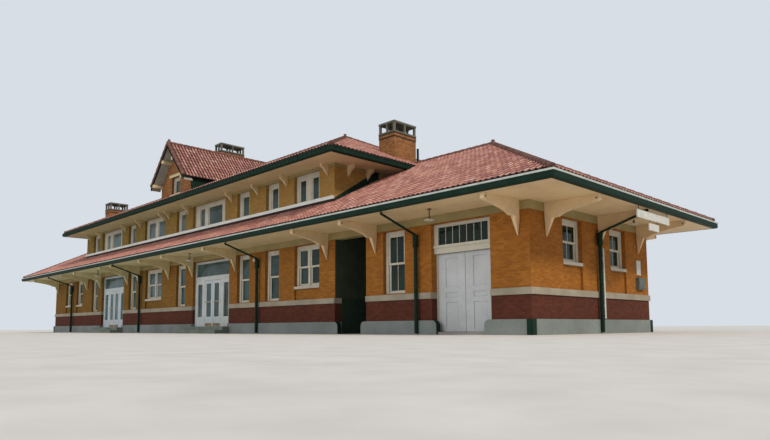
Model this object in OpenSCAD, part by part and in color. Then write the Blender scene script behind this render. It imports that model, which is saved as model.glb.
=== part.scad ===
// Two-storey brick railway station, built as a 1:2 scale model, millimetres.
// X runs along the platform front, Y runs from the front to the rear, Z is up.
// The origin is the middle of the plan at ground level. Places along the front
// are thousandths of its length, from the right-hand front corner.

/* [Walls] */
// Length of the building at the walls
body_l = 23810; // [23600:10:24400]
// Depth of the building at the walls
body_w = 4600; // [4400:10:4900]
// Thickness of the brick walls
wall_t = 200; // [160:5:240]
// Height of the lower soffit
wall_h = 2220; // [2180:5:2300]
// Height of the stone plinth
plinth_h = 260; // [220:5:300]
// How far the plinth stands out of the wall
plinth_out = 40; // [20:5:60]
// Underside of the belt course
belt_z = 665; // [640:5:690]
// Height of the belt course
belt_h = 115; // [80:5:125]
// How far the belt course stands out of the wall
belt_out = 25; // [10:5:40]
// Height of the frieze under the soffit
frieze_h = 150; // [100:5:155]
// How far the frieze stands out of the wall
frieze_out = 15; // [5:5:30]
// Open joint between neighbouring solids of one node
joint = 0.4; // [0.2:0.1:0.8]

/* [Floors] */
// Height of the passenger floor
floor_z = 190; // [160:5:220]
// Thickness of the passenger floor
floor_t = 120; // [100:5:150]
// Height of the freight room floor
freight_floor_z = 45; // [30:5:60]
// Thickness of the upper floor
upper_floor_t = 100; // [80:5:120]

/* [Upper storey] */
// Height from the lower soffit to the upper one
upper_storey_h = 1580; // [1560:5:1640]
// Height of the upper sill band above the pent roof
band_gap = 75; // [60:5:95]
// Height of the upper sill band
band_h = 70; // [50:5:80]
// How far the sill band stands out of the wall
band_out = 45; // [20:5:60]

/* [Roofs] */
// Thickness of the tiled roof slopes
roof_t = 70; // [50:5:90]
// Overhang of the lower eaves, to the fascia
eave = 1040; // [1000:5:1100]
// Angle of the lower roof, in degrees
roof_angle = 27.6; // [26.5:0.1:29]
// Overhang of the upper eaves, to the fascia
upper_eave = 660; // [620:5:700]
// Angle of the upper roof, in degrees
upper_roof_angle = 25.9; // [24.5:0.1:27]
// Height of the fascia and gutter
fascia_h = 115; // [90:5:130]
// Rise of the roof surface above the gutter at the eaves
tile_lift = 36; // [25:1:45]
// Depth of the gutter, from the fascia board outwards
gutter_d = 60; // [40:5:80]
// Thickness of the fascia board
fascia_t = 25; // [20:1:35]
// Thickness of the soffit boards
soffit_t = 22; // [15:1:30]

/* [Cross gable] */
// Half the width of the gable wall
gable_half = 980; // [900:10:1000]
// Height of the gable's ridge above the upper soffit
gable_rise = 2090; // [2050:10:2150]
// Angle of the gable's roof, in degrees
gable_angle = 47.7; // [46.5:0.1:49]
// Overhang of the gable's side eaves
gable_eave = 120; // [80:5:140]
// Overhang of the gable's rakes past its wall
rake = 320; // [250:10:360]

/* [Doors] */
// Clear gap round a door leaf
gap = 6; // [5.5:0.5:8]
// Gap where two leaves meet
meet_gap = 10; // [9:0.5:12]
// Width of a main doorway
door_w = 2020; // [1980:10:2060]
// Head of the door openings
door_head = 2050; // [2040:5:2060]
// Underside of the main transom bar
transom_z = 1500; // [1480:5:1520]
// Height of a transom bar
transom_h = 120; // [100:5:140]
// Width of a main door leaf
leaf_w = 430; // [400:5:440]
// Thickness of a main door leaf
leaf_t = 36; // [30:1:40]
// Recess of the door frames behind the wall face
door_recess = 80; // [60:5:100]
// Depth of the door frames
door_frame_d = 70; // [60:5:90]
// Width of a main door frame's posts
post_w = 155; // [140:5:160]
// Width of the freight door's jambs
jamb_w = 30; // [28:1:40]
// Height of the solid panel under the door glass
kick_h = 275; // [250:5:300]
// Width of the freight doorway
freight_w = 1340; // [1300:10:1360]
// Thickness of a freight door leaf
freight_leaf_t = 40; // [35:1:45]
// Radius of a hinge knuckle
knuckle_r = 6; // [5:0.5:7]
// Length of a hinge knuckle
knuckle_l = 40; // [30:5:50]

/* [Windows] */
// Recess of the window frames behind the wall face
window_recess = 80; // [60:5:90]
// Recess of the brick panel under a short window
apron_recess = 45; // [30:5:60]
// Depth of the window frames
window_d = 70; // [60:5:80]
// Width of a ground-floor window frame's sides
casing_w = 70; // [50:2:80]
// Width of an upper window frame's sides
upper_casing_w = 120; // [90:2:130]
// Width of an upper window frame's mullions
mullion_w = 190; // [150:5:200]
// Width of a sash's stiles and rails
sash_w = 42; // [36:1:48]
// Height of a stone window sill
sill_h = 60; // [45:5:70]
// Sill of the tall ground-floor windows
tall_sill = 800; // [795:5:820]
// Sill of the short ground-floor windows
short_sill = 1100; // [1080:5:1120]
// Sill of the end windows
end_sill = 1280; // [1260:5:1300]
// Head of the ground-floor windows
window_head = 2050; // [2030:5:2060]
// Height of the wall over the upper windows
upper_lintel = 45; // [30:5:90]
// Height of an upper window frame's head
upper_casing_h = 95; // [70:5:110]

/* [Hidden] */
$fn = 32;
eps = 0.01;
BIG = 60000;

// Distance from the right-hand corner of a place along the front
function at(thousandths) = thousandths * body_l / 1000;

upper_right = at(207.9);
upper_left = at(850.48);
upper_l = upper_left - upper_right;
upper_mid = body_l / 2 - (upper_left + upper_right) / 2;
pitch = tan(roof_angle);
wall_top = wall_h - frieze_h;
belt_top = belt_z + belt_h;
eave_z = wall_h + fascia_h + tile_lift;
lower_ridge_z = eave_z + (body_w / 2 + eave) * pitch;
band_z = eave_z + eave * pitch + band_gap;
band_top = band_z + band_h;
upper_h = wall_h + upper_storey_h;
upper_eave_z = upper_h + fascia_h + tile_lift;
upper_head = upper_h - upper_lintel;
upper_pitch = tan(upper_roof_angle);
gable_pitch = tan(gable_angle);
gable_ridge_z = upper_h + gable_rise;
gable_x = at(532.13);

door_1_x = at(436.37);
door_2_x = at(735.2);
freight_x = at(61.19);
passage_x = at(186.06);
passage_w = 1005;

// A window is [middle from the corner, width, sill, head, widths of its lights,
// width of its frame's sides, width of its mullions, height of its stone sill,
// height of its frame's head].
single = [1];
pair = [1, 1];
uneven = [0.38, 1];

function tall(x, w = 600, lights = single) =
    [at(x), w, tall_sill, window_head, lights, casing_w, casing_w, 0, casing_w];
function short(x, w, lights = single) =
    [at(x), w, short_sill, window_head, lights, casing_w, casing_w, sill_h, casing_w];
function upper(x, w, lights = single, side = upper_casing_w) =
    [at(x), w, band_top, upper_head, lights, side, mullion_w, 0, upper_casing_h];

front_windows = [tall(130.83), short(249.9, 940, pair), tall(308.69), tall(364.13), tall(511.55),
    short(591.77, 1200, pair), tall(661.07), tall(808.9), short(878.62, 690), short(931.12, 690)];

// The rear repeats the front, with windows where the front has doors.
rear_windows = concat(front_windows, [tall(61.19), tall(436.37, 1200, pair), tall(735.2, 1200, pair)]);

// End windows are placed from the front corner along the end wall.
end_share = 0.304;
end_windows = [for (share = [end_share, 1 - end_share])
    [body_w * share, 690, end_sill, window_head, single, casing_w, casing_w, sill_h, casing_w]];

wide_side = 270;
upper_window_list = [upper(250.73, 960, pair, mullion_w / 2), upper(309.32, 560), upper(366.23, 590),
    upper(443.93, 1840, uneven, wide_side), upper(514.49, 600), upper(592.4, 1500, pair),
    upper(667.79, 600), upper(743.81, 1840, uneven, wide_side), upper(808.48, 590)];

gable_windows = [[gable_x, 560, upper_h + 530, upper_h + 1070, single, casing_w, casing_w, 0,
    casing_w]];

// A chimney is [middle from the corner, middle from the front wall, length,
// depth, foot, top of its cap].
chimney_list = [
    [at(219.24), body_w / 2, 540, 780, upper_h, upper_h + 1445],
    [at(563.21), body_w / 2, 420, 900, upper_h + 1000, upper_h + 2680],
    [at(839.56), 1000, 520, 700, upper_h, upper_h + 1410]];
cap_h = 290;
cap_post = 52;
cap_mullion = 42;
cap_band = 38;
cap_slab = 48;
cap_rise = 30;
course_out = 10;

bracket_xs = [for (x = [8.82, 152.25, 217.77, 379.88, 479.63, 543.89, 636.71, 677.03, 782.86, 840.82, 986.98])
    at(x)];
bracket_inset = 490;
bracket_t = 80;

// The underside of a bracket, from its tip to the wall, as distances out of
// the wall and under the soffit, and the size of the pointed foot under it:
// how far it stands out, and how far its point is under the soffit
bracket_shape = [[980, 90], [940, 106], [890, 116], [700, 140], [548, 166], [440, 187], [346, 212],
    [285, 238], [245, 263], [145, 270], [0, 270]];
bracket_foot = [140, 580];
upper_bracket_shape = [[205, 60], [165, 84], [135, 105], [0, 110]];
upper_bracket_foot = [115, 250];
foot_tip = 12;
upper_bracket_xs = [for (x = [217.98, 283.49, 337.04, 390.59, 493.91, 547.25, 563.63, 637.97, 691.31,
    789.16, 834.1]) at(x)];
upper_end_brackets = [400, 990];
upper_bracket_t = 70;
downspout_xs = [for (x = [103.32, 332.42, 629.57, 907.18]) at(x)];
lamp_xs = [for (x = [69.72, 441.83, 729.53]) at(x)];
lamp_out = 580;
end_lamp_out = 650;
end_lamp_y = 200;
lamp_drop = 215;
lamp_r = 95;
vent_x = at(190.26);
vent_r = 28;
vent_rise = 373;
nose_out = 130;
nose_back = 70;
nose_r = 100;
guard_w = 110;
guard_t = 5;

seat = 0.3;
glass_t = 6;
sash_y = 15;
sash_t = 22;
pipe_r = 36;
slant_r = 22;
cup_r = 52;
cup_h = 230;
landing_h = floor_z - 5;
step_side = 100;
door_step_list = [[200, landing_h], [420, floor_z / 2]];
panel_d = 12;
leaf_stile = 88;
leaf_rail = 45;
leaf_rail_z = 884;
foot_w = 20;
sill_out = 10;
transom_post = 60;
ledge_h = 50;
freight_post = 100;
ledge_out = 25;
freight_stile = 165;
freight_panels = [[90, 600], [670, 780], [870, 1420]];
jamb_d = 50;
ring_reach = 3000;
hinge_plate = 24;
hinge_out = knuckle_r + 1;
freight_light_z = transom_z + 155;
gable_drop = roof_t * sqrt(1 + gable_pitch * gable_pitch);

// Place along the front from the right-hand corner, in plan coordinates
function fx(x) = body_l / 2 - x;
function total(list, i = 0) = i < len(list) ? list[i] + total(list, i + 1) : 0;
function before(list, n) = n > 0 ? list[n - 1] + before(list, n - 1) : 0;

// One side of a ring round a plan. Its child is a profile, drawn with the
// distance outwards from the wall line as x and the height as y.
module mitred_run(length) {
    reach = ring_reach;
    cut = joint * sqrt(2) / 2;
    intersection() {
        rotate([90, 0, 90])
            linear_extrude(height = length + 2 * reach, center = true)
                mirror([1, 0])
                    children();
        linear_extrude(height = 4 * reach)
            polygon([
                [-length / 2 - reach + cut, -reach], [length / 2 + reach - cut, -reach],
                [length / 2 - reach - cut, reach], [-length / 2 + reach + cut, reach]]);
    }
}

module front_run(l, w) translate([0, -w / 2, 0]) mitred_run(l) children();
module rear_run(l, w) rotate(180) front_run(l, w) children();
module end_runs(l, w) for (turn = [90, 270]) rotate(turn) translate([0, -l / 2, 0])
    mitred_run(w) children();

module ring(l, w) {
    front_run(l, w) children();
    rear_run(l, w) children();
    end_runs(l, w) children();
}

// The profile of a wall layer
module layer(z0, z1, out = 0) translate([-wall_t, z0]) square([wall_t + out, z1 - z0]);

// A box through the front wall, from the corner distance and the width
module front_hole(x, w, z0, z1, depth = 800)
    translate([fx(x) - w / 2, -body_w / 2 - depth / 2, z0]) cube([w, depth, z1 - z0]);

module to_rear() mirror([0, 1, 0]) children();

// What the ground floor layers leave open
module doorways() {
    front_hole(freight_x, freight_w, -1, door_head);
    front_hole(door_1_x, door_w, -1, door_head);
    front_hole(door_2_x, door_w, -1, door_head);
    for (side = [0, 1]) mirror([0, side, 0])
        front_hole(passage_x, passage_w, -1, wall_top);
}

// Window holes, with room for a stone sill and a shallow panel under it
module window_holes(list) for (w = list) {
    front_hole(w[0], w[1], w[2] - w[7], w[3]);
    if (w[7] > 0) front_hole(w[0], w[1], belt_top - 1, w[2], 2 * apron_recess);
}

// Moves a window drawn for the front wall to the right-hand end wall
module to_right_end() translate([body_l / 2, -body_w / 2, 0]) rotate(90)
    translate([-body_l / 2, body_w / 2, 0]) mirror([1, 0, 0]) translate([-body_l, 0, 0]) children();

module both_ends() {
    to_right_end() children();
    mirror([1, 0, 0]) to_right_end() children();
}

module plinth() color("gray") difference() {
    ring(body_l, body_w) layer(0, plinth_h, plinth_out);
    doorways();
}

// The rounded outline of a stone at the foot of a doorway's jamb
module nose_outline(extra = 0) intersection() {
    offset(r = extra) hull() {
        translate([0, -nose_r]) square([nose_out, plinth_h]);
        translate([nose_out - nose_r, plinth_h - nose_r]) circle(r = nose_r);
    }
    translate([seat, 0]) square([nose_out + extra, plinth_h + extra]);
}

// Sets an outline at a jamb up against the plinth's place in the front wall
module at_nose() translate([0, -body_w / 2 + nose_back, 0]) rotate([90, 0, 0])
    linear_extrude(height = plinth_out + nose_back) children();

// A stone drawn from the jamb towards +X, and the steel plate over its rounded end
module guard_stone() at_nose() nose_outline();
module nose_guard() at_nose() difference() {
    nose_outline(guard_t + seat);
    offset(delta = seat) nose_outline();
    square([nose_out - nose_r, plinth_h + guard_t + 1]);
}

module at_jambs(x, w) for (side = [0, 1])
    translate([fx(x) + (side ? w / 2 : -w / 2), 0, 0]) mirror([side, 0, 0]) children();

module guard_stones() color("gray") {
    at_jambs(freight_x, freight_w) guard_stone();
    for (side = [0, 1]) mirror([0, side, 0]) at_jambs(passage_x, passage_w) guard_stone();
}

// A bent steel plate round an outer corner at the origin, which faces +X and -Y
module corner_guard(h) linear_extrude(height = h) difference() {
    translate([-guard_w, -guard_t - seat]) square([guard_w + guard_t + seat, guard_w + guard_t + seat]);
    translate([-guard_w - 1, -seat]) square([guard_w + 1 + seat, guard_w + 1 + seat]);
}

module corner_guards() color("darkgreen") {
    for (sx = [0, 1]) for (sy = [0, 1]) mirror([sx, 0, 0]) mirror([0, sy, 0])
        translate([body_l / 2 + plinth_out, -body_w / 2 - plinth_out, 0]) corner_guard(plinth_h);
    for (jamb = [fx(freight_x) - freight_w / 2, fx(passage_x) - passage_w / 2])
        translate([jamb, 0, 0]) nose_guard();
}

module dado_wall() color("maroon") difference() {
    ring(body_l, body_w) layer(plinth_h, belt_z);
    doorways();
}

module belt_course() color("wheat") difference() {
    ring(body_l, body_w) layer(belt_z, belt_top, belt_out);
    doorways();
}

module front_wall() color("peru") difference() {
    front_run(body_l, body_w) layer(belt_top, wall_top);
    doorways();
    window_holes(front_windows);
}

module rear_wall() color("peru") difference() {
    rear_run(body_l, body_w) layer(belt_top, wall_top);
    doorways();
    to_rear() window_holes(rear_windows);
}

module end_walls() color("peru") difference() {
    end_runs(body_l, body_w) layer(belt_top, wall_top);
    both_ends() window_holes(end_windows);
}

module passage_walls() color("sienna") for (side = [-1, 1])
    translate([fx(passage_x) + side * (passage_w + wall_t) / 2 - wall_t / 2,
        -body_w / 2 + wall_t, 0])
        cube([wall_t, body_w - 2 * wall_t, wall_h]);

module frieze() color("tan") ring(body_l, body_w) layer(wall_top, wall_h, frieze_out);

passage_left = passage_x + passage_w / 2 + wall_t;
passage_right = passage_x - passage_w / 2 - wall_t;

module ground_floor() color("silver") {
    translate([-body_l / 2 + wall_t, -body_w / 2 + wall_t, floor_z - floor_t])
        cube([body_l - wall_t - passage_left, body_w - 2 * wall_t, floor_t]);
    for (x = [door_1_x, door_2_x])
        translate([fx(x) - door_w / 2, -body_w / 2, 0]) cube([door_w, wall_t, floor_z]);
    translate([fx(passage_right), -body_w / 2 + wall_t, 0])
        cube([passage_right - wall_t, body_w - 2 * wall_t, freight_floor_z]);
    translate([fx(freight_x) - freight_w / 2, -body_w / 2 + nose_back + seat, 0])
        cube([freight_w, wall_t - nose_back, freight_floor_z]);
    translate([fx(freight_x) - freight_w / 2 + nose_out + guard_t + 1, -body_w / 2, 0])
        cube([freight_w - 2 * (nose_out + guard_t + 1), nose_back + 1, freight_floor_z]);
}

module at_upper() translate([upper_mid, 0, 0]) children();

module upper_front_wall() color("peru") difference() {
    at_upper() front_run(upper_l, body_w) layer(wall_h, upper_h);
    window_holes(upper_window_list);
}

module upper_rear_wall() color("peru") difference() {
    at_upper() rear_run(upper_l, body_w) layer(wall_h, upper_h);
    to_rear() window_holes(upper_window_list);
}

module upper_end_walls() color("peru") at_upper() end_runs(upper_l, body_w)
    layer(wall_h, upper_h);

module window_sills() color("wheat") {
    at_upper() for (side = [0, 180]) rotate(side)
        translate([-upper_l / 2, -body_w / 2 - band_out, band_z])
            cube([upper_l, band_out, band_h]);
    each_ground_window() if ($w[7] > 0)
        translate([fx($w[0]) - $w[1] / 2 + seat, -body_w / 2 - sill_out, $w[2] - $w[7] + seat])
            cube([$w[1] - 2 * seat, sill_out + window_recess + window_d, $w[7] - seat]);
}

module upper_floor() color("burlywood") at_upper()
    translate([-upper_l / 2 + wall_t, -body_w / 2 + wall_t, wall_h])
        cube([upper_l - 2 * wall_t, body_w - 2 * wall_t, upper_floor_t]);

// A hipped solid: eaves rectangle l by w at height z, each slope rising at p
module hip_solid(l, w, z, p, drop = 0) {
    rise = w / 2 * p;
    base = z - 2 * fascia_h;
    intersection() {
        rotate([90, 0, 90]) linear_extrude(height = l, center = true)
            polygon([[-w / 2, base], [w / 2, base], [w / 2, z - drop],
                [0, z + rise - drop], [-w / 2, z - drop]]);
        rotate([90, 0, 0]) linear_extrude(height = w, center = true)
            polygon([[-l / 2, base], [l / 2, base], [l / 2, z - drop],
                [l / 2 - w / 2, z + rise - drop], [w / 2 - l / 2, z + rise - drop],
                [-l / 2, z - drop]]);
    }
}

module lower_hip(drop = 0) hip_solid(body_l + 2 * eave, body_w + 2 * eave, eave_z, pitch, drop);
module upper_hip(drop = 0) at_upper()
    hip_solid(upper_l + 2 * upper_eave, body_w + 2 * upper_eave, upper_eave_z, upper_pitch, drop);

// Vertical slots along the hips and the ridge, which part the slopes
module hip_slots(l, w) {
    for (sx = [-1, 1]) translate([sx * (l - w) / 2, 0, 0]) {
        for (sy = [-1, 1]) rotate(sx > 0 ? sy * 45 : 180 + sy * 45)
            translate([0, -joint / 2, 0]) cube([w, joint, BIG]);
        translate([-joint, -joint, 0]) cube([2 * joint, 2 * joint, BIG]);
    }
    translate([(w - l) / 2, -joint / 2, 0]) cube([l - w, joint, BIG]);
}

// Shell of the lower hipped roof, as four slopes parted along hips and ridge
module lower_shell() difference() {
    lower_hip();
    lower_hip(roof_t);
    hip_slots(body_l + 2 * eave, body_w + 2 * eave);
}

// The upright block that the upper storey fills
module upper_block(extra_l, w) at_upper()
    translate([-upper_l / 2 - extra_l, -w / 2, 0]) cube([upper_l + 2 * extra_l, w, BIG]);

module lower_roofs() color("indianred") difference() {
    lower_shell();
    upper_block(joint, BIG);
}

module pent_roofs() color("indianred") difference() {
    intersection() {
        lower_shell();
        upper_block(0, BIG);
    }
    upper_block(1, body_w);
}

module soffit_profile(out, z) translate([0, z]) square([out - fascia_t, soffit_t]);

// Fascia board with a moulded gutter in front of it
module gutter_profile(out, z, slope) {
    curve = gutter_d / 2;
    back = z + fascia_h + tile_lift - roof_t - seat;
    polygon(concat(
        [[out - fascia_t, z], [out + curve, z]],
        [for (a = [15:15:90]) [out + curve + curve * sin(a), z + curve * (1 - cos(a))]],
        [[out + gutter_d, z + fascia_h - 20], [out + gutter_d + 8, z + fascia_h - 12],
            [out + gutter_d + 8, z + fascia_h], [out, z + fascia_h],
            [out, back], [out - fascia_t, back + slope * fascia_t]]));
}

module soffits() color("wheat") {
    ring(body_l, body_w) soffit_profile(eave, wall_h);
    difference() {
        at_upper() ring(upper_l, body_w) soffit_profile(upper_eave, upper_h);
        lower_hip(-seat);
    }
}

module gutters() color("darkgreen") {
    ring(body_l, body_w) gutter_profile(eave, wall_h, pitch);
    difference() {
        at_upper() ring(upper_l, body_w) gutter_profile(upper_eave, upper_h, upper_pitch);
        lower_hip(-seat);
    }
}

// A bracket that reaches out along -Y from its seat on the wall: an arm cut
// from a board, and a foot that tapers to a point
module bracket(shape, foot, reach, t) {
    ledge = shape[len(shape) - 1][1];
    rotate([90, 0, -90]) translate([0, 0, -t / 2]) linear_extrude(height = t)
        polygon(concat([[0, 0], [reach, 0]],
            [for (p = shape) [p[0] * reach / shape[0][0], -p[1]]]));
    hull() {
        translate([-t / 2, -foot[0], -ledge]) cube([t, foot[0], 1]);
        translate([-foot_tip / 2, -foot_tip, -foot[1]]) cube([foot_tip, foot_tip, 1]);
    }
}

module lower_bracket() translate([0, -body_w / 2 - frieze_out - seat, wall_h])
    bracket(bracket_shape, bracket_foot, eave - frieze_out - fascia_t - 20, bracket_t);
module upper_bracket() translate([0, -body_w / 2 - seat, upper_h])
    bracket(upper_bracket_shape, upper_bracket_foot, upper_bracket_shape[0][0], upper_bracket_t);

module eave_brackets() color("cornsilk") {
    for (side = [0, 1]) mirror([0, side, 0]) {
        for (x = bracket_xs) translate([fx(x), 0, 0]) lower_bracket();
        for (x = upper_bracket_xs) translate([fx(x), 0, 0]) upper_bracket();
    }
    for (side = [0, 1]) mirror([side, 0, 0])
        for (y = [-1, 1]) translate([(body_l - body_w) / 2, 0, 0]) rotate(90)
            translate([y * (body_w / 2 - bracket_inset), 0, 0]) lower_bracket();
    at_upper() for (side = [0, 1]) mirror([side, 0, 0]) for (y = upper_end_brackets) for (s = [-1, 1])
        translate([(upper_l - body_w) / 2, 0, 0]) rotate(90)
            translate([s * (body_w / 2 - y), 0, 0]) upper_bracket();
}

// Outline of the cross gable's roof, or of what lies under it
module gable_profile(drop = 0) {
    reach = gable_half + gable_eave;
    polygon([[-reach, gable_ridge_z - drop - reach * gable_pitch], [0, gable_ridge_z - drop],
        [reach, gable_ridge_z - drop - reach * gable_pitch]]);
}

// The gable's walls in outline, up to the underside of its roof
module gable_wall_profile(half, drop = gable_drop) polygon([
    [-half, upper_h], [half, upper_h],
    [half, gable_ridge_z - drop - half * gable_pitch], [0, gable_ridge_z - drop],
    [-half, gable_ridge_z - drop - half * gable_pitch]]);

module along_depth(l) translate([fx(gable_x), 0, 0]) rotate([90, 0, 0])
    linear_extrude(height = l, center = true) children();

module gable_roof() color("indianred") difference() {
    along_depth(body_w + 2 * rake) gable_profile();
    along_depth(BIG) translate([0, -gable_drop]) gable_profile();
    along_depth(BIG) translate([-joint / 2, 0]) square([joint, BIG]);
    upper_hip(-seat);
    chimney_holes();
}

module gable_walls() color("peru") difference() {
    along_depth(body_w) gable_wall_profile(gable_half, gable_drop + seat);
    along_depth(body_w - 2 * wall_t) square([2 * (gable_half - wall_t), 2 * BIG], center = true);
    translate([0, 0, -seat]) intersection() {
        upper_hip(roof_t);
        cube([BIG, body_w - 2 * wall_t, BIG], center = true);
    }
    window_holes(gable_windows);
    to_rear() window_holes(gable_windows);
}

module upper_roof() color("indianred") difference() {
    upper_hip();
    upper_hip(roof_t);
    at_upper() hip_slots(upper_l + 2 * upper_eave, body_w + 2 * upper_eave);
    lower_hip(-seat);
    along_depth(body_w) translate([0, seat]) union() {
        gable_wall_profile(gable_half + seat, 0);
        gable_profile();
    }
    chimney_holes();
}

module chimney_block(c, z0, z1, out = 0)
    translate([fx(c[0]) - c[2] / 2 - out, c[1] - body_w / 2 - c[3] / 2 - out, z0])
        cube([c[2] + 2 * out, c[3] + 2 * out, z1 - z0]);

module chimney_holes() for (c = chimney_list) chimney_block(c, c[4], BIG, seat);

// A pipe that stands on the lower ridge, beside the upper storey
module vent_pipe() color("dimgray") difference() {
    translate([fx(vent_x), 0, wall_h]) cylinder(r = vent_r, h = lower_ridge_z + vent_rise - wall_h);
    lower_hip(-seat);
    upper_hip(-seat);
}

module chimneys() color("peru") for (c = chimney_list) {
    chimney_block(c, c[4], c[5] - cap_h);
    chimney_block(c, c[5] - cap_h - 90, c[5] - cap_h - 45, course_out);
}

// Each cap: a band, arches through both ways, and a slab
module chimney_caps() color("lightgray") for (c = chimney_list) difference() {
    union() {
        chimney_block(c, c[5] - cap_h, c[5] - cap_h + cap_band, course_out);
        chimney_block(c, c[5] - cap_h + eps, c[5] - eps);
        chimney_block(c, c[5] - cap_slab, c[5], course_out);
    }
    for (turn = [0, 1]) for (side = [-1, 1]) {
        bay = (c[2 + turn] - cap_mullion) / 2 - cap_post;
        x = side * (bay + cap_mullion) / 2;
        spring = cap_h - cap_band - cap_slab - cap_rise;
        translate([fx(c[0]), c[1] - body_w / 2, c[5] - cap_h + cap_band]) rotate(turn * 90)
            rotate([90, 0, 0]) linear_extrude(height = ring_reach, center = true) {
                translate([x - bay / 2, 0]) square([bay, spring]);
                translate([x, spring]) scale([1, 2 * cap_rise / bay]) circle(d = bay);
            }
    }
}

// Width of one unit of light in a window w, place of its light i, height inside its casing
function light_unit(w) = (w[1] - 2 * w[5] - w[6] * (len(w[4]) - 1)) / total(w[4]);
function light_x(w, i) = w[5] + w[6] * i + light_unit(w) * before(w[4], i);
function inner_h(w) = w[3] - w[2] - w[8] - foot_w;

module at_window(w) translate([fx(w[0]) - w[1] / 2, -body_w / 2 + window_recess, w[2]])
    children();

module sash(w, h, y) translate([0, y, 0]) difference() {
    cube([w, sash_t, h]);
    translate([sash_w, -1, sash_w]) cube([w - 2 * sash_w, sash_t + 2, h - 2 * sash_w]);
}

// A window: casing, mullions, and in each light either a fixed casement
// or the two sashes of a double-hung window
module window_frame(w, double_hung) at_window(w) {
    h = inner_h(w);
    difference() {
        cube([w[1], window_d, w[3] - w[2]]);
        for (i = [0:len(w[4]) - 1]) translate([light_x(w, i), -1, foot_w])
            cube([light_unit(w) * w[4][i], window_d + 2, h]);
    }
    for (i = [0:len(w[4]) - 1]) translate([light_x(w, i), 0, foot_w]) {
        light = light_unit(w) * w[4][i];
        if (double_hung) {
            translate([0, 0, (h - sash_w) / 2]) sash(light, (h + sash_w) / 2, sash_y);
            sash(light, (h + sash_w) / 2, sash_y + sash_t);
        } else sash(light, h, sash_y);
    }
}

module window_glass(w, double_hung) at_window(w) {
    h = inner_h(w);
    pane_h = (double_hung ? (h + sash_w) / 2 : h) - 2 * sash_w;
    for (i = [0:len(w[4]) - 1]) for (half = double_hung ? [0, 1] : [1])
        translate([light_x(w, i) + sash_w, sash_y + sash_t * (1.5 - half) - glass_t / 2,
            foot_w + sash_w + (double_hung ? half * (h - sash_w) / 2 : 0)])
            cube([light_unit(w) * w[4][i] - 2 * sash_w, glass_t, pane_h]);
}

module each_ground_window() {
    for (i = [0:len(front_windows) - 1]) { $w = front_windows[i]; children(); }
    to_rear() for (i = [0:len(rear_windows) - 1]) { $w = rear_windows[i]; children(); }
    both_ends() for (i = [0:len(end_windows) - 1]) { $w = end_windows[i]; children(); }
}

module each_upper_window() for (side = [0, 1]) mirror([0, side, 0]) {
    list = concat(upper_window_list, gable_windows);
    for (i = [0:len(list) - 1]) { $w = list[i]; children(); }
}

module ground_windows() color("white") each_ground_window() window_frame($w, true);
module ground_glass() color("lightblue", 0.5) {
    each_ground_window() window_glass($w, true);
    door_glass();
}
module upper_windows() color("white") each_upper_window() window_frame($w, false);
module upper_glass() color("lightblue", 0.5) each_upper_window() window_glass($w, false);

// Door frames, drawn from the left post's outer face at the recess
module at_frame(x, w) translate([fx(x) - w / 2, -body_w / 2 + door_recess, 0]) children();

leaf_zone = 2 * (gap + leaf_w) + meet_gap;
sidelight_w = (door_w - leaf_zone) / 2 - 2 * post_w;
freight_leaf_w = (freight_w - 2 * jamb_w - 2 * gap - meet_gap) / 2;
kick_z = floor_z + kick_h;
glass_top = transom_z - 100;

module main_frame_openings(depth, y) {
    for (x = [post_w, door_w - post_w - sidelight_w])
        translate([x, y, kick_z]) cube([sidelight_w, depth, glass_top - kick_z]);
    translate([transom_post, y, transom_z + transom_h])
        cube([door_w - 2 * transom_post, depth, door_head - transom_post - transom_z - transom_h]);
}

// A joint parts the transom unit from the jambs under it
module transom_joint(w) translate([-1, -1, transom_z]) cube([w + 2, door_frame_d + 2, joint]);

module main_frame(x) {
    at_frame(x, door_w) difference() {
        translate([0, 0, floor_z]) cube([door_w, door_frame_d, door_head - floor_z]);
        main_frame_openings(door_frame_d + 2, -1);
        translate([sidelight_w + 2 * post_w, -1, floor_z - 1])
            cube([leaf_zone, door_frame_d + 2, transom_z - floor_z + 1]);
        transom_joint(door_w);
    }
    for (side = [0, 1]) at_main_hinge(x, side) frame_knuckles(floor_z, transom_z);
}

// The freight frame: a glazed transom over a moulded bar, and jambs set back with the leaves
module freight_frame() {
    at_frame(freight_x, freight_w) {
        difference() {
            translate([0, 0, transom_z + joint])
                cube([freight_w, door_frame_d, door_head - transom_z - joint]);
            freight_light(door_frame_d + 2, -1);
        }
        translate([0, 0, transom_z + joint])
            cube([freight_w, wall_t - door_recess, freight_light_z - transom_z - joint]);
        translate([0, -ledge_out, freight_light_z - ledge_h]) cube([freight_w, ledge_out + 1, ledge_h]);
    }
    for (side = [0, 1]) at_freight_hinge(side) {
        translate([-gap / 2 - jamb_w, hinge_out, freight_floor_z])
            cube([jamb_w, jamb_d, transom_z - freight_floor_z]);
        frame_knuckles(freight_floor_z, transom_z);
    }
}

module freight_light(depth, y) translate([freight_post, y, freight_light_z])
    cube([freight_w - 2 * freight_post, depth, door_head - transom_post - freight_light_z]);

module door_frames() color("white") {
    main_frame(door_1_x);
    main_frame(door_2_x);
    freight_frame();
}

module door_glass() {
    for (x = [door_1_x, door_2_x]) at_frame(x, door_w)
        main_frame_openings(glass_t, door_frame_d / 2);
    at_frame(freight_x, freight_w) freight_light(glass_t, door_frame_d / 2);
}

// Hinges. The axis stands hinge_out in front of the face that the leaf opens to.
function hinge_heights(z0, z1) = [z0 + 150, (z0 + z1) / 2, z1 - 190];

module frame_knuckles(z0, z1) for (z = hinge_heights(z0, z1)) translate([0, 0, z]) {
    cylinder(r = knuckle_r, h = knuckle_l);
    translate([-hinge_plate, hinge_out - 3, 0]) cube([hinge_plate, 3, knuckle_l]);
}

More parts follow.
